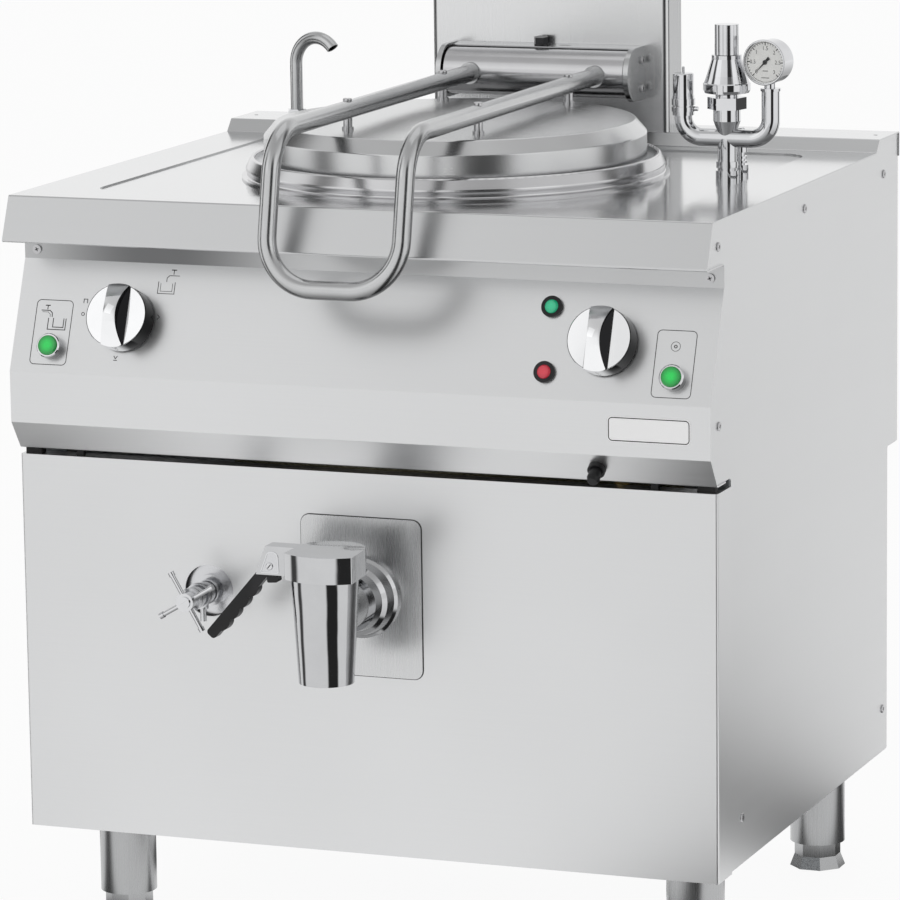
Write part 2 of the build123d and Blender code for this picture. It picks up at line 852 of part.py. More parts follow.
with BuildPart() as spout_socket:
    with BuildSketch(Plane.XY.offset(upstand_top)):
        with Locations((spout_x, spout_y)):
            RegularPolygon(spout_nut, 6, major_radius=False)
    extrude(amount=spout_nut_height)
    with BuildSketch(Plane.XY.offset(upstand_top - sheet)):
        with Locations((spout_x, spout_y)):
            Circle(spout_neck)
    extrude(amount=sheet)
    with BuildSketch(Plane.XY.offset(upstand_top - sheet - spout_tail)):
        with Locations((spout_x, spout_y)):
            Circle(spout_nut + 2)
    extrude(amount=spout_tail)
    with BuildSketch(Plane.XY.offset(upstand_top - 12)):
        with Locations((spout_x, spout_y)):
            Circle(spout_radius + running_fit)
    extrude(amount=12 + spout_nut_height, mode=Mode.SUBTRACT)
save(spout_socket, "spout_nut")

# ---------------------------------------------------------------- lid, handle and balanced hinge
hinge_y = front + drum_setback
handle_corner = front + handle_setback
grip_y = front + grip_setback
arm_end = hinge_y - drum_radius
lid_edge = lid_radius - 7

with BuildPart() as lid:
    with BuildSketch(kettle_plane):
        with BuildLine():
            FilletPolyline(
                (lid_edge, lid_bottom),
                (lid_radius, lid_bottom),
                (lid_radius, lid_shoulder),
                (lid_radius - lid_cone_run, lid_top - lid_crown),
                (lid_crown_radius, lid_top),
                (0, lid_top),
                radius=[2, 3, 3, 200],
            )
            offset(amount=lid_wall, side=Side.LEFT)
        make_face()
    revolve(axis=kettle_axis)
save(lid, "lid")

with BuildPart() as lid_handle:
    with BuildLine() as handle_path:
        FilletPolyline(
            (-handle_spread, arm_end + 6, handle_height),
            (-handle_spread, handle_corner, handle_height),
            (-handle_spread, grip_y, grip_height),
            (handle_spread, grip_y, grip_height),
            (handle_spread, handle_corner, handle_height),
            (handle_spread, arm_end + 6, handle_height),
            radius=grip_bend,
        )
    with BuildSketch(Plane(origin=handle_path.line @ 0, z_dir=(0, -1, 0))):
        Circle(handle_radius)
        Circle(handle_bore, mode=Mode.SUBTRACT)
    sweep()
    with BuildSketch(Plane.XZ.offset(-arm_end + 4)):
        with Locations((-handle_spread, handle_height), (handle_spread, handle_height)):
            Circle(handle_radius + 2.5)
            Circle(handle_radius - 0.5, mode=Mode.SUBTRACT)
    extrude(amount=-8)
    with BuildSketch(Plane.YZ.offset(-width)):
        with Locations((hinge_y, handle_height)):
            Circle(drum_radius)
    extrude(amount=2 * width, mode=Mode.SUBTRACT)
save(lid_handle, "lid_handle")

standoff_places = [
    (hand_x * handle_spread, front + setback)
    for setback in standoff_setbacks
    for hand_x in (-1, 1)
]
with BuildPart() as lid_standoffs:
    with BuildSketch(Plane.XY.offset(lid_top - 2.2)):
        with Locations(*standoff_places):
            Circle(standoff_radius)
    extrude(amount=handle_height + handle_radius + 2.6 - lid_top + 2.2)
    with BuildSketch(Plane.XY.offset(lid_top - 2.2)):
        with Locations(*standoff_places):
            Circle(standoff_radius + 1.5)
    extrude(amount=4)
    add(lid.part, mode=Mode.SUBTRACT)
    with BuildSketch(Plane.XZ.offset(-kettle_y - seat_reach)):
        with Locations((-handle_spread, handle_height), (handle_spread, handle_height)):
            Circle(handle_radius)
    extrude(amount=2 * seat_reach, mode=Mode.SUBTRACT)
    fillet(lid_standoffs.edges().group_by(Axis.Z)[-1], 1.6)
save(lid_standoffs, "lid_standoffs")

hinge_line = Plane(origin=(-end_plate_place, hinge_y, handle_height), x_dir=(0, 1, 0), z_dir=(1, 0, 0))
drum_length = 2 * (end_plate_place - drum_gap)
with BuildPart() as hinge_drum:
    with BuildSketch(hinge_line.offset(drum_gap)):
        Circle(drum_radius)
    extrude(amount=drum_length)
    with BuildSketch(hinge_line.offset(drum_gap + drum_wall)):
        Circle(drum_radius - drum_wall)
    extrude(amount=drum_length - 2 * drum_wall, mode=Mode.SUBTRACT)
    with BuildSketch(hinge_line.offset(-end_plate_thickness)):
        Circle(hinge_rod_radius)
    extrude(amount=end_plate_thickness + drum_gap)
    with BuildSketch(hinge_line.offset(2 * end_plate_place + end_plate_thickness)):
        Circle(hinge_rod_radius)
    extrude(amount=-end_plate_thickness - drum_gap)
save(hinge_drum, "hinge_drum")

bracket_back = front + column_setback
with BuildPart() as hinge_bracket:
    with BuildSketch(Plane.YZ.offset(-end_plate_place - end_plate_thickness)):
        with Locations((hinge_y, handle_height)):
            Circle(end_plate_radius)
        with Locations(((hinge_y + bracket_back) / 2, handle_height)):
            Rectangle(bracket_back - hinge_y, 2 * end_plate_radius)
        with Locations((hinge_y, handle_height)):
            Circle(hinge_rod_radius + running_fit, mode=Mode.SUBTRACT)
    extrude(amount=end_plate_thickness)
    mirror(about=Plane.YZ)
    with BuildSketch(Plane.YZ.offset(-end_plate_place)):
        with BuildLine():
            FilletPolyline(
                (bracket_back, handle_height - end_plate_radius),
                (bracket_back, handle_height + end_plate_radius),
                (bracket_back - bracket_lip, handle_height + end_plate_radius - lip_drop),
                radius=2,
            )
            offset(amount=bracket_sheet / 2, side=Side.LEFT)
        make_face()
    extrude(amount=2 * end_plate_place)
    with BuildSketch(Plane.XY.offset(handle_height)):
        with Locations((bracket_slot_place, bracket_back - bracket_lip / 2)):
            SlotOverall(14, 3)
    extrude(amount=end_plate_radius + 4, mode=Mode.SUBTRACT)
save(hinge_bracket, "hinge_bracket")

hinge_screw_places = [(hinge_y + 18, handle_height + 15), (hinge_y + 18, handle_height - 17)]
strip_screw_places = [
    (strip_screw_inset - half, console_top + 10),
    (half - strip_screw_inset, console_top + 10),
]
top_screws = worktop_height - side_screw_drop
low_screws = panel_bottom + side_screw_rise
side_screw_places = [
    (side_screw_front, top_screws),
    (side_screw_middle, top_screws),
    (body_depth - side_screw_rear, top_screws),
    (side_screw_front, crease - nose_screw_drop),
    (low_screw_front, low_screws),
    (body_depth - side_screw_rear - 1, low_screws),
]
lip_plane = Plane(
    origin=(-5, bracket_back - bracket_lip / 2, handle_height + end_plate_radius - lip_drop / 2),
    x_dir=(1, 0, 0),
    z_dir=(0, -lip_drop / bracket_lip, 1),
)
with BuildPart() as fixings:
    with BuildSketch(Plane.YZ.offset(end_plate_place + end_plate_thickness)):
        with Locations(*hinge_screw_places):
            Circle(4.5)
    extrude(amount=2.6)
    fillet(fixings.edges().group_by(Axis.X)[-1], 1.4)
    with BuildSketch(Plane.YZ.offset(body_half)):
        with Locations(*side(side_screw_places)):
            Circle(5)
    extrude(amount=side_inset)
    chamfer(fixings.edges().group_by(Axis.X)[-1], 0.7)
    mirror(about=Plane.YZ)
    with BuildSketch(Plane.XZ.offset(-front - strip_setback)):
        with Locations(*strip_screw_places):
            Circle(5)
    extrude(amount=2)
    with BuildSketch(lip_plane):
        Circle(8.5)
    extrude(amount=1.2)
    with BuildSketch(lip_plane.offset(1.2)):
        RegularPolygon(nut_flats / 2, 6, major_radius=False)
    extrude(amount=nut_rise)
save(fixings, "fixings")

# ---------------------------------------------------------------- safety group
safety_axis = vertical(safety_x, safety_y)
left_x = safety_x - branch_reach
right_x = safety_x + branch_reach
vacuum_top = vacuum_seat + 46
valve_cap_bottom = valve_seat + 66.5
valve_cap_top = valve_seat + 99.6

with BuildPart() as safety_manifold:
    with BuildLine() as branch_path:
        FilletPolyline(
            (left_x, safety_y, vacuum_seat),
            (left_x, safety_y, branch_height),
            (right_x, safety_y, branch_height),
            (right_x, safety_y, gauge_seat),
            radius=branch_bend,
        )
    with BuildSketch(Plane(origin=branch_path.line @ 0, z_dir=(0, 0, -1))):
        Circle(branch_radius)
    sweep()
    with BuildSketch(Plane.XY.offset(recess_floor - 30)):
        with Locations((safety_x, safety_y)):
            Circle(stem_radius)
    extrude(amount=branch_height - recess_floor + 30)
    with BuildSketch(Plane.XY.offset(recess_floor)):
        with Locations((safety_x, safety_y)):
            Circle(stem_radius + 2)
    extrude(amount=9)
    with BuildSketch(Plane.XY.offset(recess_floor + 12)):
        with Locations((safety_x, safety_y)):
            Circle(stem_radius + 1.5)
    extrude(amount=7)
    with BuildSketch(upright(safety_x, safety_y)):
        with BuildLine():
            Polyline((0, branch_height), (8, branch_height), (15, branch_height + 19), (15, valve_seat))
            Polyline((15, valve_seat), (0, valve_seat), (0, branch_height))
        make_face()
    revolve(axis=safety_axis)
    with BuildSketch(Plane.XY.offset(gauge_seat - 3)):
        with Locations((right_x, safety_y)):
            Circle(branch_radius + 1.2)
    extrude(amount=3)
    with BuildSketch(Plane.XY.offset(recess_floor - sheet - 8)):
        with Locations((safety_x, safety_y)):
            RegularPolygon(16, 6, major_radius=False)
    extrude(amount=8)
save(safety_manifold, "safety_manifold")

with BuildPart() as vacuum_valve_body:
    for drop, radius, height in (
        (0, 12, 4),
        (4, 13, 5),
        (9, 11.6, 2),
        (11, 13, 7),
        (18, 12, 3),
        (21, 11.5, 25),
    ):
        with BuildSketch(Plane.XY.offset(vacuum_seat + drop)):
            with Locations((left_x, safety_y)):
                Circle(radius)
        extrude(amount=height)
    fillet(vacuum_valve_body.edges().group_by(Axis.Z)[-1], 2)
    with BuildSketch(Plane.XY.offset(vacuum_seat + 12)):
        with Locations((left_x, safety_y)):
            Circle(1.5 + running_fit)
    extrude(amount=60, mode=Mode.SUBTRACT)
    with BuildSketch(Plane.YZ.offset(left_x + 8)):
        with Locations((safety_y, vacuum_seat + 7)):
            Circle(2.5)
    extrude(amount=9)
save(vacuum_valve_body, "vacuum_valve_body")

with BuildPart() as vacuum_valve_pin:
    with BuildSketch(Plane.XY.offset(vacuum_seat + 20)):
        with Locations((left_x, safety_y)):
            Circle(1.5)
    extrude(amount=33)
    fillet(vacuum_valve_pin.edges().group_by(Axis.Z)[-1], 0.8)
save(vacuum_valve_pin, "vacuum_valve_pin")

with BuildPart() as safety_valve_body:
    with BuildSketch(upright(safety_x, safety_y)):
        with BuildLine():
            Polyline(
                (0, valve_seat),
                (15, valve_seat),
                (15, valve_seat + 7),
                (15, valve_seat + 20),
                (12.5, valve_seat + 20),
                (12.5, valve_seat + 22.5),
                (24.5, valve_seat + 25),
                (26, valve_seat + 28),
                (26, valve_seat + 35),
                (24.8, valve_seat + 36),
                (22, valve_seat + 44),
                (16.5, valve_seat + 62),
                (16.5, valve_cap_bottom - seat_gap),
                (0, valve_cap_bottom - seat_gap),
                (0, valve_seat),
            )
        make_face()
    revolve(axis=safety_axis)
    with BuildSketch(Plane.XY.offset(valve_seat + 7)):
        with Locations((safety_x, safety_y)):
            RegularPolygon(18.5, 6, major_radius=False, rotation=15)
    extrude(amount=13)
    with BuildSketch(Plane.XY.offset(valve_seat + 25)):
        with Locations((safety_x, safety_y)):
            with PolarLocations(26, 6, start_angle=30):
                RectangleRounded(5, 9, 2)
    extrude(amount=10, mode=Mode.SUBTRACT)
    with BuildSketch(Plane.XY.offset(valve_cap_bottom - 12)):
        with Locations((safety_x, safety_y)):
            Circle(5 + running_fit)
    extrude(amount=14, mode=Mode.SUBTRACT)
save(safety_valve_body, "safety_valve_body")

with BuildPart() as safety_valve_cap:
    with BuildSketch(Plane.XY.offset(valve_cap_bottom)):
        with Locations((safety_x, safety_y)):
            Circle(13.2)
            with PolarLocations(13.6, 20):
                Circle(0.7, mode=Mode.SUBTRACT)
    extrude(amount=valve_cap_top - valve_cap_bottom)
    fillet(safety_valve_cap.edges().group_by(Axis.Z)[-1], 0.6)
    with BuildSketch(Plane.XY.offset(valve_cap_bottom - 10)):
        with Locations((safety_x, safety_y)):
            Circle(5)
    extrude(amount=10)
save(safety_valve_cap, "safety_valve_cap")

gauge_plane = Plane(
    origin=(right_x - 2, safety_y, gauge_height),
    x_dir=(cos(radians(gauge_turn)), sin(radians(gauge_turn)), 0),
    z_dir=(sin(radians(gauge_turn)), -cos(radians(gauge_turn)), 0),
)
dial_plane = gauge_plane.offset(gauge_depth / 2 - dial_recess)
with BuildPart() as gauge_case:
    with BuildSketch(gauge_plane.offset(-gauge_depth / 2)):
        Circle(gauge_radius - 1)
    extrude(amount=gauge_depth)
    with BuildSketch(gauge_plane.offset(gauge_depth / 2 - 4)):
        Circle(gauge_radius)
    extrude(amount=4)
    fillet(gauge_case.edges().filter_by(GeomType.CIRCLE).sort_by(Axis.Y)[-1], 3)
    fillet(gauge_case.edges().filter_by(GeomType.CIRCLE).sort_by(Axis.Y)[0], 1)
    with BuildSketch(dial_plane):
        Circle(gauge_radius - gauge_wall)
    extrude(amount=gauge_depth, mode=Mode.SUBTRACT)
    with BuildSketch(Plane.XY.offset(gauge_seat)):
        with Locations((right_x - 1, safety_y)):
            Circle(6)
    extrude(amount=gauge_height - gauge_radius - gauge_seat + 2)
    with BuildSketch(dial_plane.offset(-6)):
        Circle(1.2 + running_fit)
    extrude(amount=6, mode=Mode.SUBTRACT)
save(gauge_case, "gauge_case")

with BuildPart() as gauge_pointer:
    with BuildSketch(dial_plane.offset(0.8)):
        Circle(2.6)
        with Locations(Location((0, 0), -135)):
            Polygon((0, -0.9), (17.5, 0), (0, 0.9), (-7, 1.9), (-7, -1.9), align=None)
    extrude(amount=0.8)
    with BuildSketch(dial_plane.offset(-5.5)):
        Circle(1.2)
    extrude(amount=6.3)
save(gauge_pointer, "gauge_pointer")

with BuildPart() as gauge_lens:
    with BuildSketch(dial_plane.offset(dial_recess - 2.2)):
        Circle(gauge_radius - gauge_wall)
    extrude(amount=1.4)
save(gauge_lens, "gauge_lens")

with BuildPart() as feed_union:
    for bottom, radius, height in (
        (-20, feed_pipe, 71),
        (0, 9, 10),
        (12, 7.5, 2.5),
        (17, 7.5, 2.5),
        (24, 8, 16),
        (40, 6.5, 6),
    ):
        with BuildSketch(Plane.XY.offset(recess_floor + bottom)):
            with Locations((feed_x, feed_y)):
                Circle(radius)
        extrude(amount=height)
    fillet(feed_union.edges().group_by(Axis.Z)[-1], 1.5)
save(feed_union, "feed_union")

# ---------------------------------------------------------------- knobs, buttons and lamps
for x, name in zip(knob_places, ("water_knob", "gas_knob")):
    knob_plane = on_console(x, knob_drop)
    with BuildPart() as knob:
        with BuildSketch(knob_plane.offset(ring_height + seat_gap)):
            Circle(knob_radius)
        extrude(amount=knob_skirt - ring_height)
        with BuildSketch(knob_plane.offset(knob_skirt)):
            Circle(knob_radius - 0.8)
        extrude(amount=knob_grip)
        fillet(knob.edges().sort_by(Axis.Y)[0], 1.5)
        with BuildSketch(knob_plane.offset(knob_skirt + seat_gap)):
            with Locations((-scoop_place, 0), (scoop_place, 0)):
                Circle(scoop_radius)
        extrude(amount=knob_grip, mode=Mode.SUBTRACT)
        with BuildSketch(knob_plane.offset(ring_height + seat_gap)):
            Circle(knob_shaft)
        extrude(amount=-ring_height - seat_gap - 20)
    save(knob, name)

with BuildPart() as knob_bezels:
    with BuildSketch(console_face):
        with Locations(*[(x, -knob_drop) for x in knob_places]):
            Circle(knob_radius - 1.5)
            Circle(knob_shaft + 1, mode=Mode.SUBTRACT)
        with Locations(*[(lamp_place, -drop) for drop in lamp_drops]):
            Circle(lamp_radius)
            Circle(lens_radius, mode=Mode.SUBTRACT)
    extrude(amount=ring_height)
save(knob_bezels, "control_bezels")

with BuildPart() as button_bezels:
    with BuildSketch(console_face):
        with Locations(*[(x, -button_drop) for x in button_places]):
            Circle(bezel_radius)
    extrude(amount=bezel_height - button_proud)
    chamfer(button_bezels.edges().group_by(Axis.Y)[0], 1)
    with BuildSketch(console_face.offset(-sheet)):
        with Locations(*[(x, -button_drop) for x in button_places]):
            Circle(button_radius + seat_gap)
    extrude(amount=bezel_height + sheet, mode=Mode.SUBTRACT)
    with BuildSketch(console_face.offset(-sheet)):
        with Locations(*[(x, -button_drop) for x in button_places]):
            RectangleRounded(switch_block, switch_block, 3)
            Circle(button_stem + seat_gap, mode=Mode.SUBTRACT)
    extrude(amount=-switch_depth)
save(button_bezels, "button_switches")

for x, name in zip(button_places, ("fill_button", "ignition_button")):
    button_plane = on_console(x, button_drop)
    with BuildPart() as button:
        with BuildSketch(button_plane.offset(5)):
            Circle(button_radius)
        extrude(amount=bezel_height - 5)
        fillet(button.edges().sort_by(Axis.Y)[0], 1.2)
        with BuildSketch(button_plane.offset(5)):
            Circle(button_stem)
        extrude(amount=-32)
    save(button, name)

for drop, name in zip(lamp_drops, ("lamp_green", "lamp_red")):
    lamp_plane = on_console(lamp_place, drop)
    with BuildPart() as lamp:
        with BuildSketch(lamp_plane.offset(-22)):
            Circle(lens_radius)
        extrude(amount=22 + 6)
        fillet(lamp.edges().sort_by(Axis.Y)[0], 2.5)
    save(lamp, name)

with BuildPart() as igniter_bush:
    with BuildSketch(chamfer_face):
        Circle(igniter_radius)
    extrude(amount=6)
    with BuildSketch(chamfer_face):
        Circle(igniter_radius - 1)
    extrude(amount=-16)
    with BuildSketch(chamfer_face.offset(-20)):
        Circle(igniter_radius - 2.3)
    extrude(amount=30, mode=Mode.SUBTRACT)
save(igniter_bush, "igniter_bush")

with BuildPart() as igniter_button:
    with BuildSketch(chamfer_face.offset(-8)):
        Circle(igniter_radius - 2.6)
    extrude(amount=24)
    with BuildSketch(chamfer_face.offset(igniter_travel)):
        Circle(igniter_radius - 2.6)
    extrude(amount=5, taper=18)
save(igniter_button, "igniter_button")

# ---------------------------------------------------------------- drain tap
tap_axis = vertical(0, tap_y)
union_plane = Plane(origin=(0, panel_face, drain_height), x_dir=(1, 0, 0), z_dir=(0, 0, 1))
union_axis = Axis((0, panel_face, drain_height), (0, -1, 0))
tap_face = Plane.XZ.offset(-panel_face)
bore_top = spout_top_radius - 6
bore_foot = spout_foot_radius - 3.5

with BuildPart() as tap_mount:
    with BuildSketch(tap_face):
        with Locations((0, drain_height)):
            RectangleRounded(*tap_plate, 10)
            Circle(tap_pipe, mode=Mode.SUBTRACT)
    extrude(amount=tap_plate_sheet)
save(tap_mount, "tap_plate")

with BuildPart() as tap_union:
    with BuildSketch(union_plane):
        with BuildLine():
            Polyline(
                (outlet_bore, -tap_plate_sheet),
                (44, -tap_plate_sheet),
                (44, -7),
                (41, -10),
                (38, -22),
                (34, -27),
                (31, -union_depth),
                (outlet_bore, -union_depth),
                (outlet_bore, -tap_plate_sheet),
            )
        make_face()
    revolve(axis=union_axis)
save(tap_union, "tap_union")

with BuildPart() as tap_body:
    with BuildSketch(Plane(origin=(0, tap_y, spout_foot))):
        Circle(spout_foot_radius)
    with BuildSketch(Plane(origin=(0, tap_y, cap_bottom - seat_gap))):
        Circle(spout_top_radius)
    loft()
    with BuildSketch(Plane.XZ.offset(-panel_face + union_depth)):
        with Locations((0, drain_height)):
            Circle(27)
    extrude(amount=tap_reach - union_depth)
    with BuildSketch(Plane(origin=(0, tap_y, spout_foot))):
        Circle(bore_foot)
    with BuildSketch(Plane(origin=(0, tap_y, cap_bottom - seat_gap))):
        Circle(bore_top)
    loft(mode=Mode.SUBTRACT)
    with BuildSketch(Plane.XZ.offset(-panel_face + union_depth)):
        with Locations((0, drain_height)):
            Circle(outlet_bore)
    extrude(amount=tap_reach - union_depth, mode=Mode.SUBTRACT)
save(tap_body, "tap_body")

ear_plane = Plane.XZ.offset(-tap_y - ear_front)
lever_middle = tap_y + ear_front + ear_width / 2
lever_plane = Plane(
    origin=(lever_pivot[0], lever_middle, lever_pivot[1]),
    x_dir=(-cos(radians(lever_angle)), 0, -sin(radians(lever_angle))),
    z_dir=(0, -1, 0),
)
with BuildPart() as tap_cap:
    with BuildSketch(Plane(origin=(0, tap_y, cap_bottom))):
        with BuildLine():
            ThreePointArc((-cap_side + 4, 16 - cap_front), (2, -cap_front), (cap_side + 2, 13 - cap_front))
            Line((cap_side + 2, 13 - cap_front), (cap_side - 2, 18))
            ThreePointArc((cap_side - 2, 18), (0, cap_back), (-cap_side + 4, 24))
            Line((-cap_side + 4, 24), (-cap_side + 4, 16 - cap_front))
        make_face()
    extrude(amount=cap_thickness)
    fillet(tap_cap.edges().filter_by(Axis.Z), 2)
    with BuildSketch(ear_plane):
        Polygon(
            (-cap_side + 8, ear_bottom + 5),
            (-cap_side - 8, ear_bottom),
            (lever_pivot[0] - 14, ear_bottom),
            (lever_pivot[0] - 3, cap_bottom + cap_thickness - 1),
            (-cap_side + 8, cap_bottom + cap_thickness - 1),
            align=None,
        )
    extrude(amount=-ear_width)
    with BuildSketch(Plane.XZ.offset(-lever_middle + lever_thickness / 2 + seat_gap)):
        with Locations((lever_pivot[0] - 4, ear_bottom + 8)):
            Rectangle(47, 36)
    extrude(amount=-lever_thickness - 2 * seat_gap, mode=Mode.SUBTRACT)
    with BuildSketch(lever_plane.offset(ear_width / 2 - 2)):
        Circle(pin_radius)
    extrude(amount=4 - ear_width)
save(tap_cap, "tap_cap")

spout_taper = (bore_top - bore_foot) / (cap_bottom - seat_gap - spout_foot)
plug_top_radius = bore_top - plug_fit
plug_foot_radius = bore_foot + spout_taper * (plug_foot - spout_foot) - plug_fit
with BuildPart() as tap_plug:
    with BuildSketch(Plane(origin=(0, tap_y, plug_foot))):
        Circle(plug_foot_radius)
    with BuildSketch(Plane(origin=(0, tap_y, cap_bottom - seat_gap))):
        Circle(plug_top_radius)
    loft()
    with BuildSketch(Plane(origin=(0, tap_y, cap_bottom - seat_gap))):
        Circle(plug_top_radius - 2)
    extrude(amount=seat_gap)
    with BuildSketch(Plane(origin=(0, tap_y, plug_foot))):
        Circle(outlet_bore - 4)
    extrude(amount=drain_height - plug_foot, mode=Mode.SUBTRACT)
    with BuildSketch(Plane.YZ):
        with Locations((tap_y, drain_height)):
            Circle(outlet_bore - 4)
    extrude(amount=cap_side, mode=Mode.SUBTRACT)
save(tap_plug, "tap_plug")

with BuildPart() as tap_lever:
    with BuildSketch(lever_plane.offset(-lever_thickness / 2)):
        with Locations((lever_length / 2, 0)):
            RectangleRounded(lever_length, lever_width, 4)
        Circle(8)
        for step in range(4):
            with Locations((36 + 17 * step, lever_width / 2 - 3)):
                Ellipse(9, 6)
        with Locations(Location((7, 9), 45)):
            RectangleRounded(16, 12, 2)
        Circle(pin_radius + running_fit, mode=Mode.SUBTRACT)
    extrude(amount=lever_thickness)
save(tap_lever, "tap_lever")

# ---------------------------------------------------------------- level tap
level_face = Plane(origin=(level_x, panel_face, level_height), x_dir=(1, 0, 0), z_dir=(0, -1, 0))
level_front = level_reach - 12
jacket_front = kettle_y - sqrt(jacket_radius**2 - level_x**2) - panel_face

with BuildPart() as level_tap:
    with BuildSketch(level_face.offset(-10)):
        Circle(level_hole + 9)
    extrude(amount=2)
    with BuildSketch(level_face.offset(-10)):
        Circle(6)
    extrude(amount=10 - jacket_front - 8)
    with BuildSketch(Plane.XY.offset(level_height - 20)):
        with Locations((0, kettle_y)):
            Circle(jacket_radius)
    extrude(amount=40, mode=Mode.SUBTRACT)
    with BuildSketch(level_face.offset(-8)):
        Circle(10)
    extrude(amount=8 + level_front)
    for start, radius, length in (
        (-8, 17, 5),
        (4, 13, 4),
        (11, 12, 10),
        (27, 14, 5),
        (36, 12, 8),
        (48, 13, 5),
    ):
        with BuildSketch(level_face.offset(start)):
            Circle(radius)
        extrude(amount=length)
    with BuildSketch(Plane(origin=(level_x, panel_face - level_nose_reach, level_height - level_nose_drop))):
        Circle(3.5)
    extrude(amount=26)
    with BuildSketch(Plane(origin=(level_x, panel_face - level_nose_reach, level_height - 16))):
        Circle(6)
    extrude(amount=8)
    with BuildSketch(level_face.offset(level_front - 20)):
        Circle(4 + running_fit)
    extrude(amount=24, mode=Mode.SUBTRACT)
save(level_tap, "level_tap")

with BuildPart() as level_tap_handle:
    with BuildSketch(level_face.offset(level_front + seat_gap)):
        Circle(10)
    extrude(amount=12)
    with BuildSketch(level_face.offset(level_front - 18)):
        Circle(4)
    extrude(amount=18 + seat_gap)
    with BuildSketch(level_face.offset(level_front + seat_gap + 12)):
        Circle(6.5)
    extrude(amount=2)
    with BuildSketch(level_face.offset(level_front + seat_gap + 13)):
        with Locations(Location((0, 0), 35)):
            Rectangle(13, 1.4)
    extrude(amount=2, mode=Mode.SUBTRACT)
    for turn in (30, 120, 210, 300):
        spoke_plane = Plane(
            origin=(level_x, panel_face - level_front - seat_gap - 6, level_height),
            x_dir=(0, -1, 0),
            z_dir=(cos(radians(turn)), 0, sin(radians(turn))),
        )
        with BuildSketch(spoke_plane.offset(6)):
            Circle(2.6)
        extrude(amount=cross_radius - 6)
        with BuildSketch(spoke_plane.offset(cross_radius - 5)):
            Circle(3.4)
        extrude(amount=5)
save(level_tap_handle, "level_tap_handle")

with BuildPart() as panel_stops:
    with BuildSketch(Plane.XY.offset(panel_top)):
        with Locations((-half + 14, panel_face + 10), (half - 14, panel_face + 10)):
            RectangleRounded(20, 12, 2)
        with Locations((stop_inset - half, panel_face + 6), (half - stop_inset, panel_face + 6)):
            Rectangle(8, 6)
    extrude(amount=panel_gap)
save(panel_stops, "panel_stops")
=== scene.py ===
# %% [markdown]
# A gas-heated boiling pan, dressed for a studio picture. The solids come in with their true sizes
# and places. What this lesson adds is finish: brushed and polished steel, chrome, printed marks, the
# small plates and beads that are too fine to be worth a solid of their own, and the knobs' true form.

# %% Load the solids
from math import cos, pi, radians, sin

import bmesh
import bpy
import numpy as np
from mathutils import Matrix, Vector


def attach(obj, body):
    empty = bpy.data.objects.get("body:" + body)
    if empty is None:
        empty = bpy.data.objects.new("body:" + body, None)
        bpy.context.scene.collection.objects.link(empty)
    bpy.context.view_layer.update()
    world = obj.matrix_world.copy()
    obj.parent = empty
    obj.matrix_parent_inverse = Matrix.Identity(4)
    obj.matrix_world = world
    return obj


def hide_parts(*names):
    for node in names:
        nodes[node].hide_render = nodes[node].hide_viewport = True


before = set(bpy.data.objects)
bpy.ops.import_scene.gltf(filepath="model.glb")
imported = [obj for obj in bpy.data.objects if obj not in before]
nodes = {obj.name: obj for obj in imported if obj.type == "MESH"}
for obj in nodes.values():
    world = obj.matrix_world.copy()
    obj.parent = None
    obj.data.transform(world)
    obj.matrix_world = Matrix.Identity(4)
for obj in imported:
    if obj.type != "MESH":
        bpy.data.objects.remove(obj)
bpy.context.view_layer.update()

# %% [markdown]
# Shader arithmetic reads best as arithmetic. A Wire holds one output socket, and each operator on
# it adds the Math node for that step, so a formula in the text is the node tree that it makes.


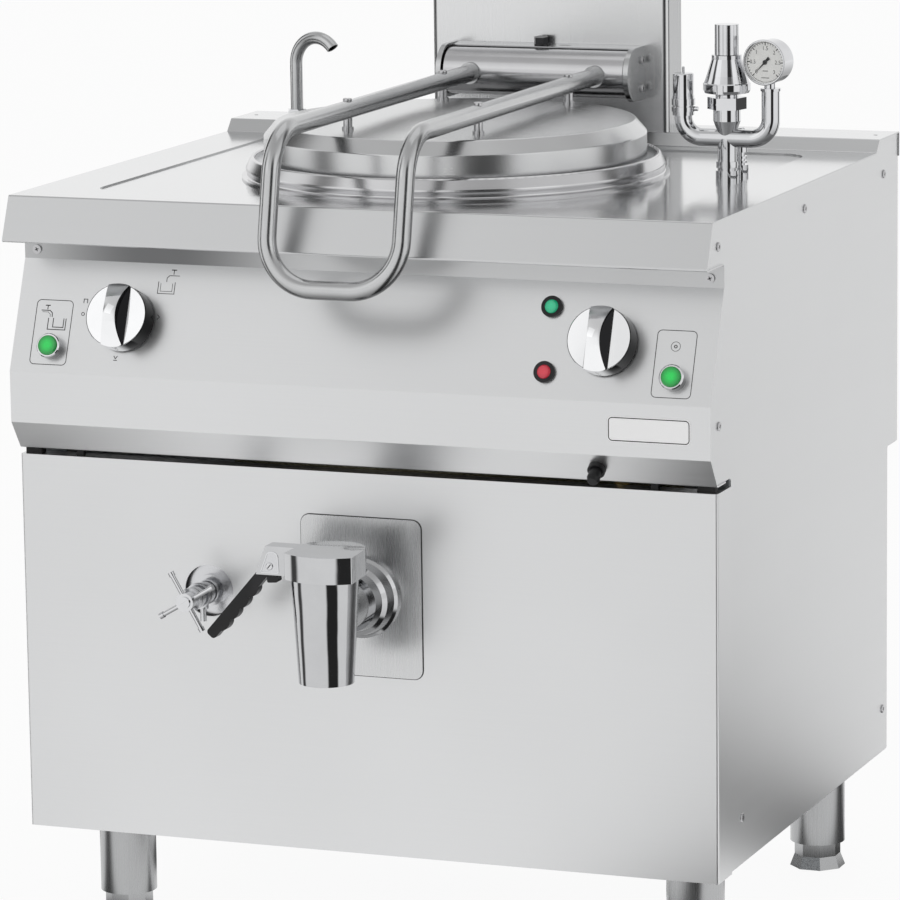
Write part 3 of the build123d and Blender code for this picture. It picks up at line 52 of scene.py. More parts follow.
# %% A wire that can be added and multiplied
class Wire:
    """One output socket of a node tree. Operators add Math nodes; node() adds any other kind."""

    def __init__(self, tree, socket):
        self.tree = tree
        self.socket = socket

    def node(self, kind, settings=None, inputs=None, output=0):
        made = self.tree.nodes.new(kind)
        for key, value in (settings or {}).items():
            setattr(made, key, value)
        for key, value in (inputs or {}).items():
            self.feed(made.inputs[key], value)
        return Wire(self.tree, made.outputs[output])

    def feed(self, socket, value):
        if isinstance(value, Wire):
            self.tree.links.new(value.socket, socket)
        else:
            socket.default_value = value

    def math(self, operation, *values):
        return self.node("ShaderNodeMath", {"operation": operation}, dict(enumerate(values)))

    def __add__(self, other):
        return self.math("ADD", self, other)

    def __radd__(self, other):
        return self.math("ADD", other, self)

    def __sub__(self, other):
        return self.math("SUBTRACT", self, other)

    def __rsub__(self, other):
        return self.math("SUBTRACT", other, self)

    def __mul__(self, other):
        return self.math("MULTIPLY", self, other)

    def __rmul__(self, other):
        return self.math("MULTIPLY", other, self)

    def __abs__(self):
        return self.math("ABSOLUTE", self)

    def root(self):
        return self.math("SQRT", self)

    def at_most(self, limit):
        return self.math("MINIMUM", self, limit)

    def step(self, low, high):
        """0 below low, 1 above high, and a smooth S between them."""
        inputs = {"Value": self, "From Min": low, "From Max": high}
        return self.node("ShaderNodeMapRange", {"interpolation_type": "SMOOTHSTEP"}, inputs)

    def stretched(self, scale):
        """The same place, multiplied along each axis, so that a round pattern becomes a long one."""
        return self.node("ShaderNodeVectorMath", {"operation": "MULTIPLY"}, {0: self, 1: scale})

    def noise(self, scale, detail=2.0, roughness=0.5):
        inputs = {"Vector": self, "Scale": scale, "Detail": detail, "Roughness": roughness}
        return self.node("ShaderNodeTexNoise", None, inputs)

    def part(self, axis):
        return self.node("ShaderNodeSeparateXYZ", None, {0: self}, output="XYZ".index(axis))

    def blend(self, low, high):
        """A colour between low and high, this value of the way across. Either may be a wire."""
        low, high = (end if isinstance(end, Wire) else (*end, 1) for end in (low, high))
        return self.node("ShaderNodeMix", {"data_type": "RGBA"}, {0: self, 6: low, 7: high}, output=2)

    def grey(self):
        """This value as all three parts of a colour."""
        return self.node("ShaderNodeCombineXYZ", None, {0: self, 1: self, 2: self})


class Finish:
    """A material with one Principled shader. place is a point of the piece, in metres."""

    def __init__(self, name, **constants):
        self.material = bpy.data.materials.new(name)
        self.material.use_nodes = True
        tree = self.material.node_tree
        self.shader = next(n for n in tree.nodes if n.type == "BSDF_PRINCIPLED")
        start = Wire(tree, None)
        self.place = start.node("ShaderNodeTexCoord", output=3)
        self.facing = start.node("ShaderNodeNewGeometry", output=1)
        for key, value in constants.items():
            self.shader.inputs[key.replace("_", " ")].default_value = value

    def feed(self, key, wire):
        wire.feed(self.shader.inputs[key], wire)
        return self

    def relief(self, height, depth, strength=1.0):
        """Bump: height is 0 to 1, and depth says how many metres 1 stands for."""
        inputs = {"Strength": strength, "Distance": depth, "Height": height}
        return self.feed("Normal", height.node("ShaderNodeBump", None, inputs))


# %% [markdown]
# Sheet for catering equipment is rolled and then brushed in one direction. The brushing is a noise
# stretched to long hairlines: it moves the roughness and the height a little. A second, broad noise
# stands for handling, so that a large panel isn't the same all over.


# %% Brushed steel
STEEL = (0.7, 0.705, 0.71)
HAIR_ALONG, HAIR_ACROSS = 4.0, 900.0  # cells of the noise in a metre, along a hairline and across it


def shaded(colour, factor):
    """A colour made darker or lighter by one factor, and never brighter than 1."""
    return tuple(min(1.0, part * factor) for part in colour)


def brushed(name, along, colour=STEEL, rough=0.3, hair=0.05, turned=None):
    """Hairlines run along one axis, and hair is how far they move the roughness.

    turned is the colour painted on the faces that look sideways: a painted shade. A darker painted
    line at the bend leads to it.
    """
    finish = Finish(name, Metallic=1.0)
    scale = tuple(HAIR_ALONG if axis == along else HAIR_ACROSS for axis in "XYZ")
    hairs = finish.place.stretched(scale).noise(1.0, 3.0, 0.6)
    clouds = finish.place.noise(3.0, 2.0)
    mottle = (clouds * 0.75 + hairs * 0.25).step(0.25, 0.75)
    tone = mottle.blend(shaded(colour, 0.97), shaded(colour, 1.03))
    # Faces that look sideways get a painted shade, and the bend before them a darker painted line.
    if turned:
        side_shade_mask = abs(finish.facing.part("X"))
        bend = side_shade_mask.step(0.03, 0.3) - side_shade_mask.step(0.45, 0.8)
        tone = side_shade_mask.step(0.8, 0.95).blend(bend.blend(tone, shaded(turned, 0.3)), turned)
    finish.feed("Base Color", tone)
    finish.feed("Roughness", rough - hair + hairs * (2 * hair) + (clouds - 0.5) * 0.06)
    finish.relief(hairs, 6e-6)
    return finish.material


console_steel = brushed("console_steel", "X", rough=0.33)
panel_steel = brushed("front_panel_steel", "X", rough=0.33)
side_steel = brushed("side_panel_steel", "Y", rough=0.34)
# The column's sides carry a painted shade.
column_steel = brushed(
    "column_steel", "Z", (0.74, 0.745, 0.75), rough=0.26, turned=(0.46, 0.465, 0.47)
)
plate_steel = brushed("tap_plate_steel", "Z", (0.62, 0.625, 0.63), rough=0.28)
leg_steel = brushed("leg_steel", "Z", (0.44, 0.445, 0.45), rough=0.27, hair=0.08)
inner_steel = brushed("inner_steel", "Z", (0.55, 0.56, 0.57), rough=0.4)
print("brushed steels made")

# %% [markdown]
# The worktop is one pressing with two looks: its top is bright enough to mirror the lid and the
# valves, while the apron in front is brushed like the panels. The way that the surface faces tells
# them apart, so one material serves the whole pressing. The strip behind the apron's lower edge is
# told apart by its height. It lies in shade, and that shade is painted into its colour, darkest round
# SHADE_X.

# %% Worktop steel
STRIP_TOP = 0.7812
SHADE_X = -0.24
worktop_finish = Finish("worktop_steel", Metallic=1.0)
top_face = worktop_finish.facing.part("Z").step(0.7, 0.95)
top_hairs = worktop_finish.place.stretched((HAIR_ALONG, HAIR_ACROSS, HAIR_ACROSS)).noise(1.0, 3.0, 0.6)
top_waves = worktop_finish.place.noise(5.0, 1.0)
top_tone = (top_waves * 0.2 + top_hairs * 0.15 + top_face * 0.65).step(0.0, 1.0)
# The strip's colour is a painted shade, darkest round SHADE_X.
strip = 1 - worktop_finish.place.part("Z").step(STRIP_TOP - 0.0012, STRIP_TOP)
gloom = 1 - abs(worktop_finish.place.part("X") - SHADE_X).step(0.02, 0.2) * 0.9
strip_tone = gloom.blend((0.56, 0.565, 0.57), (0.16, 0.162, 0.165))
open_tone = top_tone.blend((0.6, 0.605, 0.61), STEEL)
worktop_finish.feed("Base Color", strip.blend(open_tone, strip_tone))
worktop_finish.feed("Roughness", 0.3 - top_face * 0.17 + (top_hairs - 0.5) * 0.08)
worktop_finish.relief(top_waves * top_face + top_hairs * 0.004, 5e-4, 0.5)
worktop_steel = worktop_finish.material

# %% [markdown]
# Spun parts, such as the lid and the collar round the pan's mouth, are polished on a lathe. The
# marks are rings about the pan's centre: distance from the axis, not place, drives the noise.

# %% Spun and polished steel
PAN_Y = 0.0295
LATHE_GRAIN = 500.0


def spun(name, colour, rough, ring=0.02):
    """Ring marks round the upright line through the pan's centre."""
    finish = Finish(name, Metallic=1.0)
    x = finish.place.part("X")
    y = finish.place.part("Y") - PAN_Y
    distance = (x * x + y * y).root()
    lathe = distance.node("ShaderNodeCombineXYZ", None, {0: distance, 2: finish.place.part("Z")})
    rings = lathe.noise(LATHE_GRAIN, 3.0, 0.6)
    clouds = finish.place.noise(9.0, 2.0)
    finish.feed("Base Color", clouds.step(0.3, 0.7).blend(shaded(colour, 0.95), colour))
    finish.feed("Roughness", rough + (rings - 0.5) * (2 * ring) + (clouds - 0.5) * 0.05)
    finish.relief(rings, 4e-6)
    return finish.material


lid_steel = spun("lid_steel", (0.68, 0.685, 0.69), 0.26)
collar_steel = spun("collar_steel", (0.68, 0.68, 0.69), 0.2)
vessel_steel = spun("vessel_steel", (0.6, 0.61, 0.62), 0.3)
print("spun steels made")

# %% [markdown]
# Tube and turned parts are polished along their length, and the fittings are chrome plated. Plating
# is nearly a mirror, yet it is laid over a casting, so a slow wave is left in the surface, and there
# is a breath of dullness where hands and water reach it.


# %% Polished tube and chrome
def film_on(finish):
    """A thin uneven film, as dried water and fingers leave it."""
    return finish.place.noise(25.0, 4.0, 0.6)


def polished(name, colour, rough, wave, size=60.0, underside_shade=1.0):
    """wave is the height of the casting's waves in metres, and size how many a metre holds.

    The last argument is how bright the faces that look down are painted, next to the rest: a painted
    reflection of the darker steel that they mirror.
    """
    finish = Finish(name, Metallic=1.0)
    waves = finish.place.noise(size, 1.0)
    film = film_on(finish)
    tone = film.step(0.25, 0.75).blend(shaded(colour, 0.94), colour)
    # Faces that look down are painted darker: a painted reflection of the steel below.
    below = 1 - finish.facing.part("Z").step(-0.7, 0.15)
    finish.feed("Base Color", below.blend(tone, shaded(colour, underside_shade)))
    finish.feed("Roughness", rough + film.step(0.45, 0.8) * 0.05)
    finish.relief(waves, wave, 0.35)
    return finish.material


tube_steel = polished("tube_steel", (0.58, 0.585, 0.59), 0.2, 2e-5, underside_shade=0.3)
drum_steel = polished("drum_steel", (0.6, 0.6, 0.61), 0.17, 2e-5, underside_shade=0.5)
chrome = polished("chrome_plate", (0.74, 0.745, 0.76), 0.04, 2e-4, underside_shade=0.3)
cast_chrome = polished("cast_chrome", (0.6, 0.605, 0.615), 0.06, 2.2e-3, 26.0, underside_shade=0.5)
satin_chrome = polished("satin_chrome", (0.66, 0.665, 0.68), 0.24, 3e-5)

# A knob is plated. Its sides that turn away to the right are painted black: a painted shade.
BLACK = (0.012, 0.012, 0.013)
knob_finish = Finish("knob_chrome", Metallic=1.0)
knob_side_shade = knob_finish.facing.part("X").step(0.12, 0.45)
knob_film = film_on(knob_finish)
plated = knob_film.blend((0.84, 0.85, 0.86), (0.95, 0.95, 0.96))
knob_finish.feed("Base Color", knob_side_shade.blend(plated, BLACK))
knob_finish.feed("Roughness", 0.06 + knob_film.step(0.45, 0.8) * 0.05)
knob_chrome = knob_finish.material

# The screws are bright. Only the nut on the hinge bracket, in the middle of the part, is blackened.
screw_finish = Finish("screw_steel", Metallic=1.0)
blackened = 1 - abs(screw_finish.place.part("X")).step(0.02, 0.03)
oxide = screw_finish.place.noise(120.0, 3.0)
dullness = blackened * 0.9 + oxide * 0.1
screw_finish.feed("Base Color", dullness.blend((0.55, 0.55, 0.56), (0.03, 0.03, 0.032)))
screw_finish.feed("Roughness", 0.24 + oxide * 0.12)
screw_steel = screw_finish.material
print("polished metals made")


# %% [markdown]
# The hidden parts have their own finishes: galvanised sheet shows pale crystals, a Voronoi pattern;
# brass is warm and a little dull; mineral wool is matt with loose fibres.


# %% Zinc, brass and wool
zinc_finish = Finish("galvanised_sheet", Metallic=1.0)
voronoi = {"Vector": zinc_finish.place, "Scale": 90.0}
shade = zinc_finish.place.node("ShaderNodeTexVoronoi", None, voronoi, output=1).part("X")
zinc_finish.feed("Base Color", shade.blend((0.46, 0.48, 0.5), (0.6, 0.62, 0.64)))
zinc_finish.feed("Roughness", 0.38 + shade * 0.18)
zinc = zinc_finish.material

brass_finish = Finish("plain_brass", Metallic=1.0)
tarnish = brass_finish.place.noise(40.0, 4.0)
brass_finish.feed("Base Color", tarnish.step(0.3, 0.7).blend((0.5, 0.36, 0.15), (0.68, 0.52, 0.25)))
brass_finish.feed("Roughness", 0.25 + tarnish * 0.2)
brass = brass_finish.material

wool_finish = Finish("mineral_wool", Roughness=0.95)
fibres = wool_finish.place.stretched((220.0, 220.0, 600.0)).noise(1.0, 5.0, 0.7)
wool_finish.feed("Base Color", fibres.step(0.3, 0.7).blend((0.42, 0.38, 0.26), (0.68, 0.63, 0.47)))
wool_finish.relief(fibres, 1.5e-3)
wool = wool_finish.material


# %% [markdown]
# Moulded parts: the tap's lever and the small press button are black plastic with a fine grain that
# spark erosion leaves in a mould. The lamps are clear coloured caps over a light, so they glow a
# little from within, most of all in the middle.


# %% Plastic, rubber and lamps
SPARK_GRAIN = 1400.0


def moulded(name, colour, rough, depth=1.5e-5, worn=1.5, glow=0.0):
    """depth is the grain's, in metres. worn is how much lighter the handled places are."""
    finish = Finish(name, Specular_IOR_Level=0.3, Emission_Strength=glow)
    spark = finish.place.noise(SPARK_GRAIN, 2.0)
    wear = finish.place.noise(30.0, 3.0)
    light = tuple(min(1.0, c * worn + 0.01) for c in colour)
    tone = wear.step(0.4, 0.8).blend(colour, light)
    finish.feed("Base Color", tone)
    finish.feed("Emission Color", tone)
    finish.feed("Roughness", rough + spark * 0.08)
    finish.relief(spark, depth)
    return finish.material


black_plastic = moulded("black_plastic", BLACK, 0.3)
black_rubber = moulded("black_rubber", (0.014, 0.014, 0.014), 0.6)
black_print = moulded("black_print", (0.03, 0.03, 0.032), 0.5, depth=2e-6)
# The badge and the dial are given a painted glow, so that they stay white in little light.
badge_white = moulded("badge_white", (0.8, 0.8, 0.8), 0.28, depth=1e-6, worn=1.0, glow=0.3)
dial_white = moulded("dial_white", (0.86, 0.86, 0.84), 0.4, depth=1e-6, worn=1.0, glow=0.2)


def glowing(name, dark, bright, strength, centre):
    """A lamp cap: bright in the middle and dark at the rim, by the distance from its centre."""
    finish = Finish(
        name, Roughness=0.22, Coat_Weight=0.6, Coat_Roughness=0.05, Emission_Strength=strength
    )
    ends = {0: finish.place, 1: centre}
    offset = finish.place.node("ShaderNodeVectorMath", {"operation": "DISTANCE"}, ends, output=1)
    middle = 1 - offset.step(0.002, 0.012)
    grain = finish.place.noise(900.0, 2.0)
    colour = (middle * 0.8 + grain * 0.3).blend(dark, bright)
    finish.feed("Base Color", colour)
    finish.feed("Emission Color", colour)
    finish.relief(grain, 5e-5)
    return finish.material


CONSOLE_ORIGIN = np.array((0.0, -239.8, 756.5))
CONSOLE_UP = np.array((0.0, 0.3659, 0.9306))
CONSOLE_OUT = np.array((0.0, -0.9306, 0.3659))


def console_point(x, drop, out=0.0):
    """A place on the sloping console, in metres, from millimetres across, down the slope and out."""
    return tuple((CONSOLE_ORIGIN + (x, 0, 0) - CONSOLE_UP * drop + CONSOLE_OUT * out) / 1000)


BUTTON_GREENS = ((0.0, 0.12, 0.02), (0.0, 0.6, 0.08))
LAMP_GREENS = ((0.0, 0.12, 0.05), (0.02, 0.6, 0.3))
LAMP_REDS = ((0.18, 0.0, 0.01), (0.7, 0.03, 0.06))
fill_green = glowing("fill_button_green", *BUTTON_GREENS, 0.4, console_point(-354, 98, 12))
start_green = glowing("start_button_green", *BUTTON_GREENS, 0.4, console_point(357, 98, 12))
lamp_green = glowing("lamp_green", *LAMP_GREENS, 0.3, console_point(215, 28, 4))
lamp_red = glowing("lamp_red", *LAMP_REDS, 0.3, console_point(215, 98, 4))

glass_finish = Finish("gauge_glass", Roughness=0.03, IOR=1.45, Alpha=0.05)
haze = glass_finish.place.noise(60.0, 2.0)
glass_finish.feed("Base Color", haze.blend((0.3, 0.31, 0.31), (0.36, 0.36, 0.36)))
gauge_glass = glass_finish.material
print("plastics, lamps and glass made")

# %% [markdown]
# Now each solid takes its finish. A solid's mesh stays as it came: only the material in its slot
# changes. The table is the part's bill of finishes, and a solid that it forgets stops the script.

# %% Bill of finishes
finishes = {
    worktop_steel: ["worktop"],
    console_steel: ["control_panel"],
    panel_steel: ["front_panel"],
    plate_steel: ["tap_plate"],
    side_steel: ["side_panel_left", "side_panel_right", "rear_panel"],
    column_steel: ["flue_column", "flue_cap"],
    leg_steel: [
        "leg_tubes", "foot_front_left", "foot_front_right", "foot_rear_left", "foot_rear_right",
    ],
    inner_steel: ["jacket_shell", "drain_pipe", "strainer"],
    lid_steel: ["lid"],
    collar_steel: ["collar"],
    vessel_steel: ["kettle_vessel"],
    tube_steel: ["lid_handle", "spout", "hinge_bracket"],
    drum_steel: ["hinge_drum", "lid_standoffs"],
    chrome: [
        "spout_nut", "safety_manifold", "vacuum_valve_body", "vacuum_valve_pin", "safety_valve_body",
        "safety_valve_cap", "gauge_case", "feed_union", "level_tap_handle", "button_switches",
    ],
    cast_chrome: ["tap_body", "tap_cap", "tap_union"],
    knob_chrome: ["water_knob", "gas_knob"],
    satin_chrome: ["level_tap"],
    screw_steel: ["fixings"],
    zinc: ["base_frame", "flue_duct", "burner"],
    brass: ["control_valves", "supply_pipes", "tap_plug"],
    wool: ["insulation"],
    black_plastic: [
        "tap_lever", "igniter_bush", "igniter_button", "gauge_pointer", "control_bezels",
    ],
    black_rubber: ["panel_stops"],
    fill_green: ["fill_button"],
    start_green: ["ignition_button"],
    lamp_green: ["lamp_green"],
    lamp_red: ["lamp_red"],
    gauge_glass: ["gauge_lens"],
}
finish_of = {name: material for material, names in finishes.items() for name in names}
for name, solid in nodes.items():
    for slot in solid.material_slots:
        slot.material = finish_of[name]
print(len(finish_of), "solids have their finish")

# %% [markdown]
# New pieces are worked out as arrays of points. All but the welds lie on a flat place of the part,
# and a Face holds that place: an origin, a direction across, a direction up, and the way out.


# %% Faces to draw on, and a way to make a piece
class Face:
    """A flat place on the part, in millimetres."""

    def __init__(self, origin, up, out):
        self.origin = np.array(origin, float)
        self.up = np.array(up, float)
        self.out = np.array(out, float)
        self.across = np.cross(self.up, self.out)

    def at(self, flat, height=0.0):
        """Points of an (n, 2) array, height millimetres proud of the face."""
        flat = np.asarray(flat, float)
        return self.origin + flat[:, :1] * self.across + flat[:, 1:] * self.up + height * self.out


def add_piece(name, points, faces, material, body, slot, smooth=False):
    """A mesh piece from points in millimetres. Its faces are turned outwards, and it rides a body."""
    mesh = bpy.data.meshes.new(name)
    corners = [tuple(int(i) for i in face) for face in faces]
    mesh.from_pydata((np.asarray(points) / 1000).tolist(), [], corners)
    tidy = bmesh.new()
    tidy.from_mesh(mesh)
    bmesh.ops.remove_doubles(tidy, verts=tidy.verts, dist=1e-7)
    bmesh.ops.recalc_face_normals(tidy, faces=tidy.faces)
    tidy.to_mesh(mesh)
    tidy.free()
    mesh.polygons.foreach_set("use_smooth", [smooth] * len(mesh.polygons))
    mesh.materials.append(material)
    made = bpy.data.objects.new(name, mesh)
    bpy.context.scene.collection.objects.link(made)
    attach(made, body)
    print(name, len(mesh.polygons), "faces")
    return made


def strip_faces(rows, count, closed=False):
    """Quads between neighbouring rows of a (rows, count) grid whose columns go all the way round."""
    row = np.arange(rows if closed else rows - 1)[:, None]
    column = np.arange(count)[None, :]
    after = (column + 1) % count
    below = (row + 1) % rows
    here, there = row * count, below * count
    corners = (here + column, here + after, there + after, there + column)
    return np.stack([np.broadcast_to(c, (len(row), count)) for c in corners], axis=-1).reshape(-1, 4)


def join(shapes):
    """Several (points, faces) pairs as one."""
    points, faces, start = [], [], 0
    for shape_points, shape_faces in shapes:
        points.append(shape_points)
        faces += [[int(i) + start for i in face] for face in shape_faces]
        start += len(shape_points)
    return np.concatenate(points), faces


def slab(face, outline, low, high, round_off=0.0):
    """A plate. Its outline is carried from low to high, drawn in by round_off at the top edge."""
    outline = np.asarray(outline, float)
    middle = outline.mean(axis=0)
    reach = np.linalg.norm(outline - middle, axis=1, keepdims=True)
    inner = middle + (outline - middle) * (1 - round_off / reach)
    rings = [face.at(outline, low), face.at(outline, high - round_off), face.at(inner, high)]
    count = len(outline)
    points = np.concatenate(rings + [face.at([middle], low), face.at([middle], high)])
    faces = strip_faces(len(rings), count).tolist()
    step = np.arange(count)
    after = (step + 1) % count
    top, tips = 2 * count, 3 * count  # where the top ring and the two middle points start
    faces += np.stack([step, after, np.full(count, tips)], 1).tolist()
    faces += np.stack([step + top, after + top, np.full(count, tips + 1)], 1).tolist()
    return points, faces


def stroke(face, path, width, low=0.0, high=0.12, closed=False):
    """A printed line: the path is widened by half its width to each side, with mitred corners."""
    path = np.asarray(path, float)
    if closed:
        before, after = path - np.roll(path, 1, axis=0), np.roll(path, -1, axis=0) - path
    else:
        runs = np.diff(path, axis=0)
        before, after = np.concatenate([runs[:1], runs]), np.concatenate([runs, runs[-1:]])
    before = before / np.linalg.norm(before, axis=1, keepdims=True)
    after = after / np.linalg.norm(after, axis=1, keepdims=True)
    middle = before + after
    middle = middle / np.linalg.norm(middle, axis=1, keepdims=True)
    side = np.stack([-middle[:, 1], middle[:, 0]], 1)
    reach = width / 2 / np.maximum((middle * after).sum(axis=1, keepdims=True), 0.5)
    left, right = path + side * reach, path - side * reach
    corners = ((left, low), (left, high), (right, high), (right, low))
    rails = np.stack([face.at(rail, height) for rail, height in corners], 1)
    faces = strip_faces(len(path), 4, closed).tolist()
    if not closed:
        last = 4 * (len(path) - 1)
        faces += [[0, 1, 2, 3], [last, last + 1, last + 2, last + 3]]
    return rails.reshape(-1, 3), faces


def rounded(width, height, radius, centre=(0.0, 0.0), steps=6):
    """A rounded rectangle: a quarter circle at each corner, joined by straight sides."""
    turn = np.linspace(0, pi / 2, steps)
    arcs = [
        np.stack([x + radius * np.cos(turn + start), y + radius * np.sin(turn + start)], 1)
        for x, y, start in (
            (width / 2 - radius, height / 2 - radius, 0),
            (radius - width / 2, height / 2 - radius, pi / 2),
            (radius - width / 2, radius - height / 2, pi),
            (width / 2 - radius, radius - height / 2, 1.5 * pi),
        )
    ]
    return np.concatenate(arcs) + centre


def circle(radius, centre=(0.0, 0.0), steps=32):
    """Points round a circle, without the first one again at the end."""
    turn = np.arange(steps) * (2 * pi / steps)
    return np.stack([np.cos(turn), np.sin(turn)], 1) * radius + centre


def ring(origin, axis, major, minor, steps=40, sides=10):
    """A bead such as a weld: a small circle carried round a large one about the axis."""
    origin, axis = np.asarray(origin, float), np.asarray(axis, float)
    guide = np.array((0.0, 0.0, 1.0)) if abs(axis[2]) < 0.9 else np.array((1.0, 0.0, 0.0))
    across = np.cross(axis, guide)
    across /= np.linalg.norm(across)
    up = np.cross(axis, across)
    turn = (np.arange(steps) * 2 * pi / steps)[:, None, None]
    tip = (np.arange(sides) * 2 * pi / sides)[None, :, None]
    outward = np.cos(turn) * across + np.sin(turn) * up
    points = origin + outward * (major + minor * np.cos(tip)) + axis * minor * np.sin(tip)
    return points.reshape(-1, 3), strip_faces(steps, sides, closed=True)


console = Face(CONSOLE_ORIGIN, CONSOLE_UP, CONSOLE_OUT)
nose = Face((0, -286.0, 0), (0, 0, 1), (0, -1, 0))

# %% [markdown]
# The marks on the console are screen printed. Each is a thin dark line on the sheet: a frame round
# each press button, a tap over a pan for filling, a pan with the tap to its side, and small marks at
# the knob's stops. Lines this thin are strokes along a path, a tenth of a millimetre proud. Each has
# its path, across and up the console from its top, its width, and whether it closes.

# %% Printed marks
mark_paths = [
    # frames round the press buttons
    (rounded(43, 71.5, 5, (-356.4, -81.5)), 0.75, True),
    (rounded(43, 71.5, 5, (355.4, -82.5)), 0.75, True),
    # a tap over a pan, for the button that fills the jacket
    ([(-367.5, -51.8), (-361.8, -51.8)], 1.1, False),
    ([(-364.6, -52), (-364.6, -56.4)], 0.9, False),
    ([(-371.8, -57.4), (-361.5, -57.4), (-358.6, -60), (-358.2, -64.5)], 0.9, False),
    ([(-370.5, -59.2), (-363.5, -59.2), (-361, -61.5), (-360.6, -64.5)], 0.5, False),
    ([(-362.2, -65.8), (-362.2, -78.3), (-341.2, -78.3), (-341.2, -65.6)], 0.9, False),
    ([(-356.2, -65.5), (-356.2, -75.6), (-343.8, -75.6), (-343.8, -65.6)], 0.9, False),
    # a pan with the tap to its side, over the water knob
    ([(-224.0, -6.6), (-218.0, -6.6)], 1.1, False),
    ([(-221.0, -6.8), (-221.0, -11.5)], 0.9, False),
    ([(-213.8, -12.9), (-225.5, -12.9), (-228.4, -15.5), (-228.4, -20.0)], 0.7, False),
    ([(-237.6, -19.8), (-237.6, -33.0), (-218.2, -33.0), (-218.2, -20.0)], 0.7, False),
    ([(-234.8, -21.5), (-234.8, -30.4), (-221.0, -30.4), (-221.0, -21.5)], 0.5, False),
    # the spark's mark over the ignition button
    (circle(5.0, (355, -63.7)), 0.5, True),
    (circle(1.5, (355, -63.7), 16), 0.9, True),
    # marks at the water knob's stops
    (circle(1.7, (-322, -59.6), 16), 0.7, True),
    ([(-322.8, -47.5), (-322.8, -43.0), (-318.6, -43.0), (-318.6, -47.5)], 0.8, False),
    ([(-234.0, -56.5), (-231.4, -59.0), (-234.0, -61.6)], 0.8, False),
    ([(-279.0, -104.0), (-276.8, -107.0), (-274.6, -104.0)], 0.8, False),
    ([(-279.0, -108.8), (-274.6, -108.8)], 0.8, False),
]
marks = join([stroke(console, path, width, closed=shut) for path, width, shut in mark_paths])
add_piece("console_marks", *marks, black_print, "cabinet", "black_plastic")

# %% [markdown]
# The name plate's place is kept as a bare white plate with a thin dark border. It is a little under
# a millimetre thick, and its edge is eased so that it catches a line of light.

# %% Bare plate on the nose
PLATE_CENTRE = (332.8, 611.5)
plate = slab(nose, rounded(91, 27, 5, PLATE_CENTRE), 0.0, 0.9, round_off=0.35)
add_piece("bare_plate", *plate, badge_white, "cabinet", "stainless")
border = stroke(nose, rounded(88.2, 24.2, 4, PLATE_CENTRE), 1.0, 0.85, 0.98, closed=True)
add_piece("bare_plate_border", *border, black_print, "cabinet", "black_plastic")

# %% [markdown]
# The plate behind the drain tap covers the hole in the front panel. Round it runs a thin dark line,
# the shadow of its joint with the panel.

# %% Joint round the tap's plate
panel_face = Face((0, -264.5, 410.0), (0, 0, 1), (0, -1, 0))
joint = stroke(panel_face, rounded(138.9, 173.9, 10.4), 0.9, 0.0, 0.5, closed=True)
add_piece("plate_joint", *joint, black_print, "cabinet", "black_rubber")

# %% [markdown]
# A pressure gauge reads from nought at the lower left, clockwise over three quarters of a turn. The
# scale is a ring with long and short ticks; only the plain numbers are written, and two short bars
# stand for the small print.

# %% Gauge dial
GAUGE_TURN = radians(-8)
DIAL_RADIUS = 23.0
SCALE_START, SCALE_SWEEP = 225, 270  # degrees, anticlockwise from the right and clockwise from there
TICKS, TICKS_TO_A_NUMBER = 30, 5
TICK_OUT, NUMBERS_AT = 21.4, 15.0
INK = (0.25, 0.42)  # where print on the dial starts and ends, over the face behind it
dial_out = np.array((sin(GAUGE_TURN), -cos(GAUGE_TURN), 0.0))
dial = Face(np.array((350.0, 71.5, 958.0)) + dial_out * 9, (0, 0, 1), dial_out)
disc = slab(dial, circle(DIAL_RADIUS, steps=64), 0.02, 0.3)
add_piece("gauge_dial", *disc, dial_white, "cabinet", "stainless")


def scale_way(tick):
    """The direction from the dial's centre to a tick, across and up."""
    turn = radians(SCALE_START - tick * SCALE_SWEEP / TICKS)
    return np.array((cos(turn), sin(turn)))


scale = []
for tick in range(TICKS + 1):
    inner, width = (18.4, 1.0) if tick % TICKS_TO_A_NUMBER == 0 else (19.8, 0.5)
    ends = [scale_way(tick) * inner, scale_way(tick) * TICK_OUT]
    scale.append(stroke(dial, ends, width, *INK))
scale.append(stroke(dial, circle(21.6, steps=64), 0.4, *INK, closed=True))
for height, reach in ((-9.5, 3.2), (-17.0, 4.6)):
    scale.append(stroke(dial, [(-reach, height), (reach, height)], 0.7, *INK))
add_piece("gauge_scale", *join(scale), black_print, "cabinet", "black_plastic")


def digits(face, text, size, centre, height):
    """A number as flat faces of a font, moved on to the face."""
    curve = bpy.data.curves.new("digits", "FONT")
    curve.body = text
    curve.size = size
    curve.align_x = "CENTER"
    curve.align_y = "CENTER"
    writing = bpy.data.objects.new("digits", curve)
    mesh = bpy.data.meshes.new_from_object(writing)
    flat = np.empty(len(mesh.vertices) * 3)
    mesh.vertices.foreach_get("co", flat)
    faces = [tuple(polygon.vertices) for polygon in mesh.polygons]
    bpy.data.objects.remove(writing)
    return face.at(flat.reshape(-1, 3)[:, :2] + centre, height), faces


numbers = []
for step, text in enumerate(("0", "0.5", "1", "1.5", "2", "2.5", "3")):
    centre = scale_way(step * TICKS_TO_A_NUMBER) * NUMBERS_AT
    numbers.append(digits(dial, text, 6.0, centre, 0.34))
add_piece("gauge_numbers", *join(numbers), black_print, "cabinet", "black_plastic")
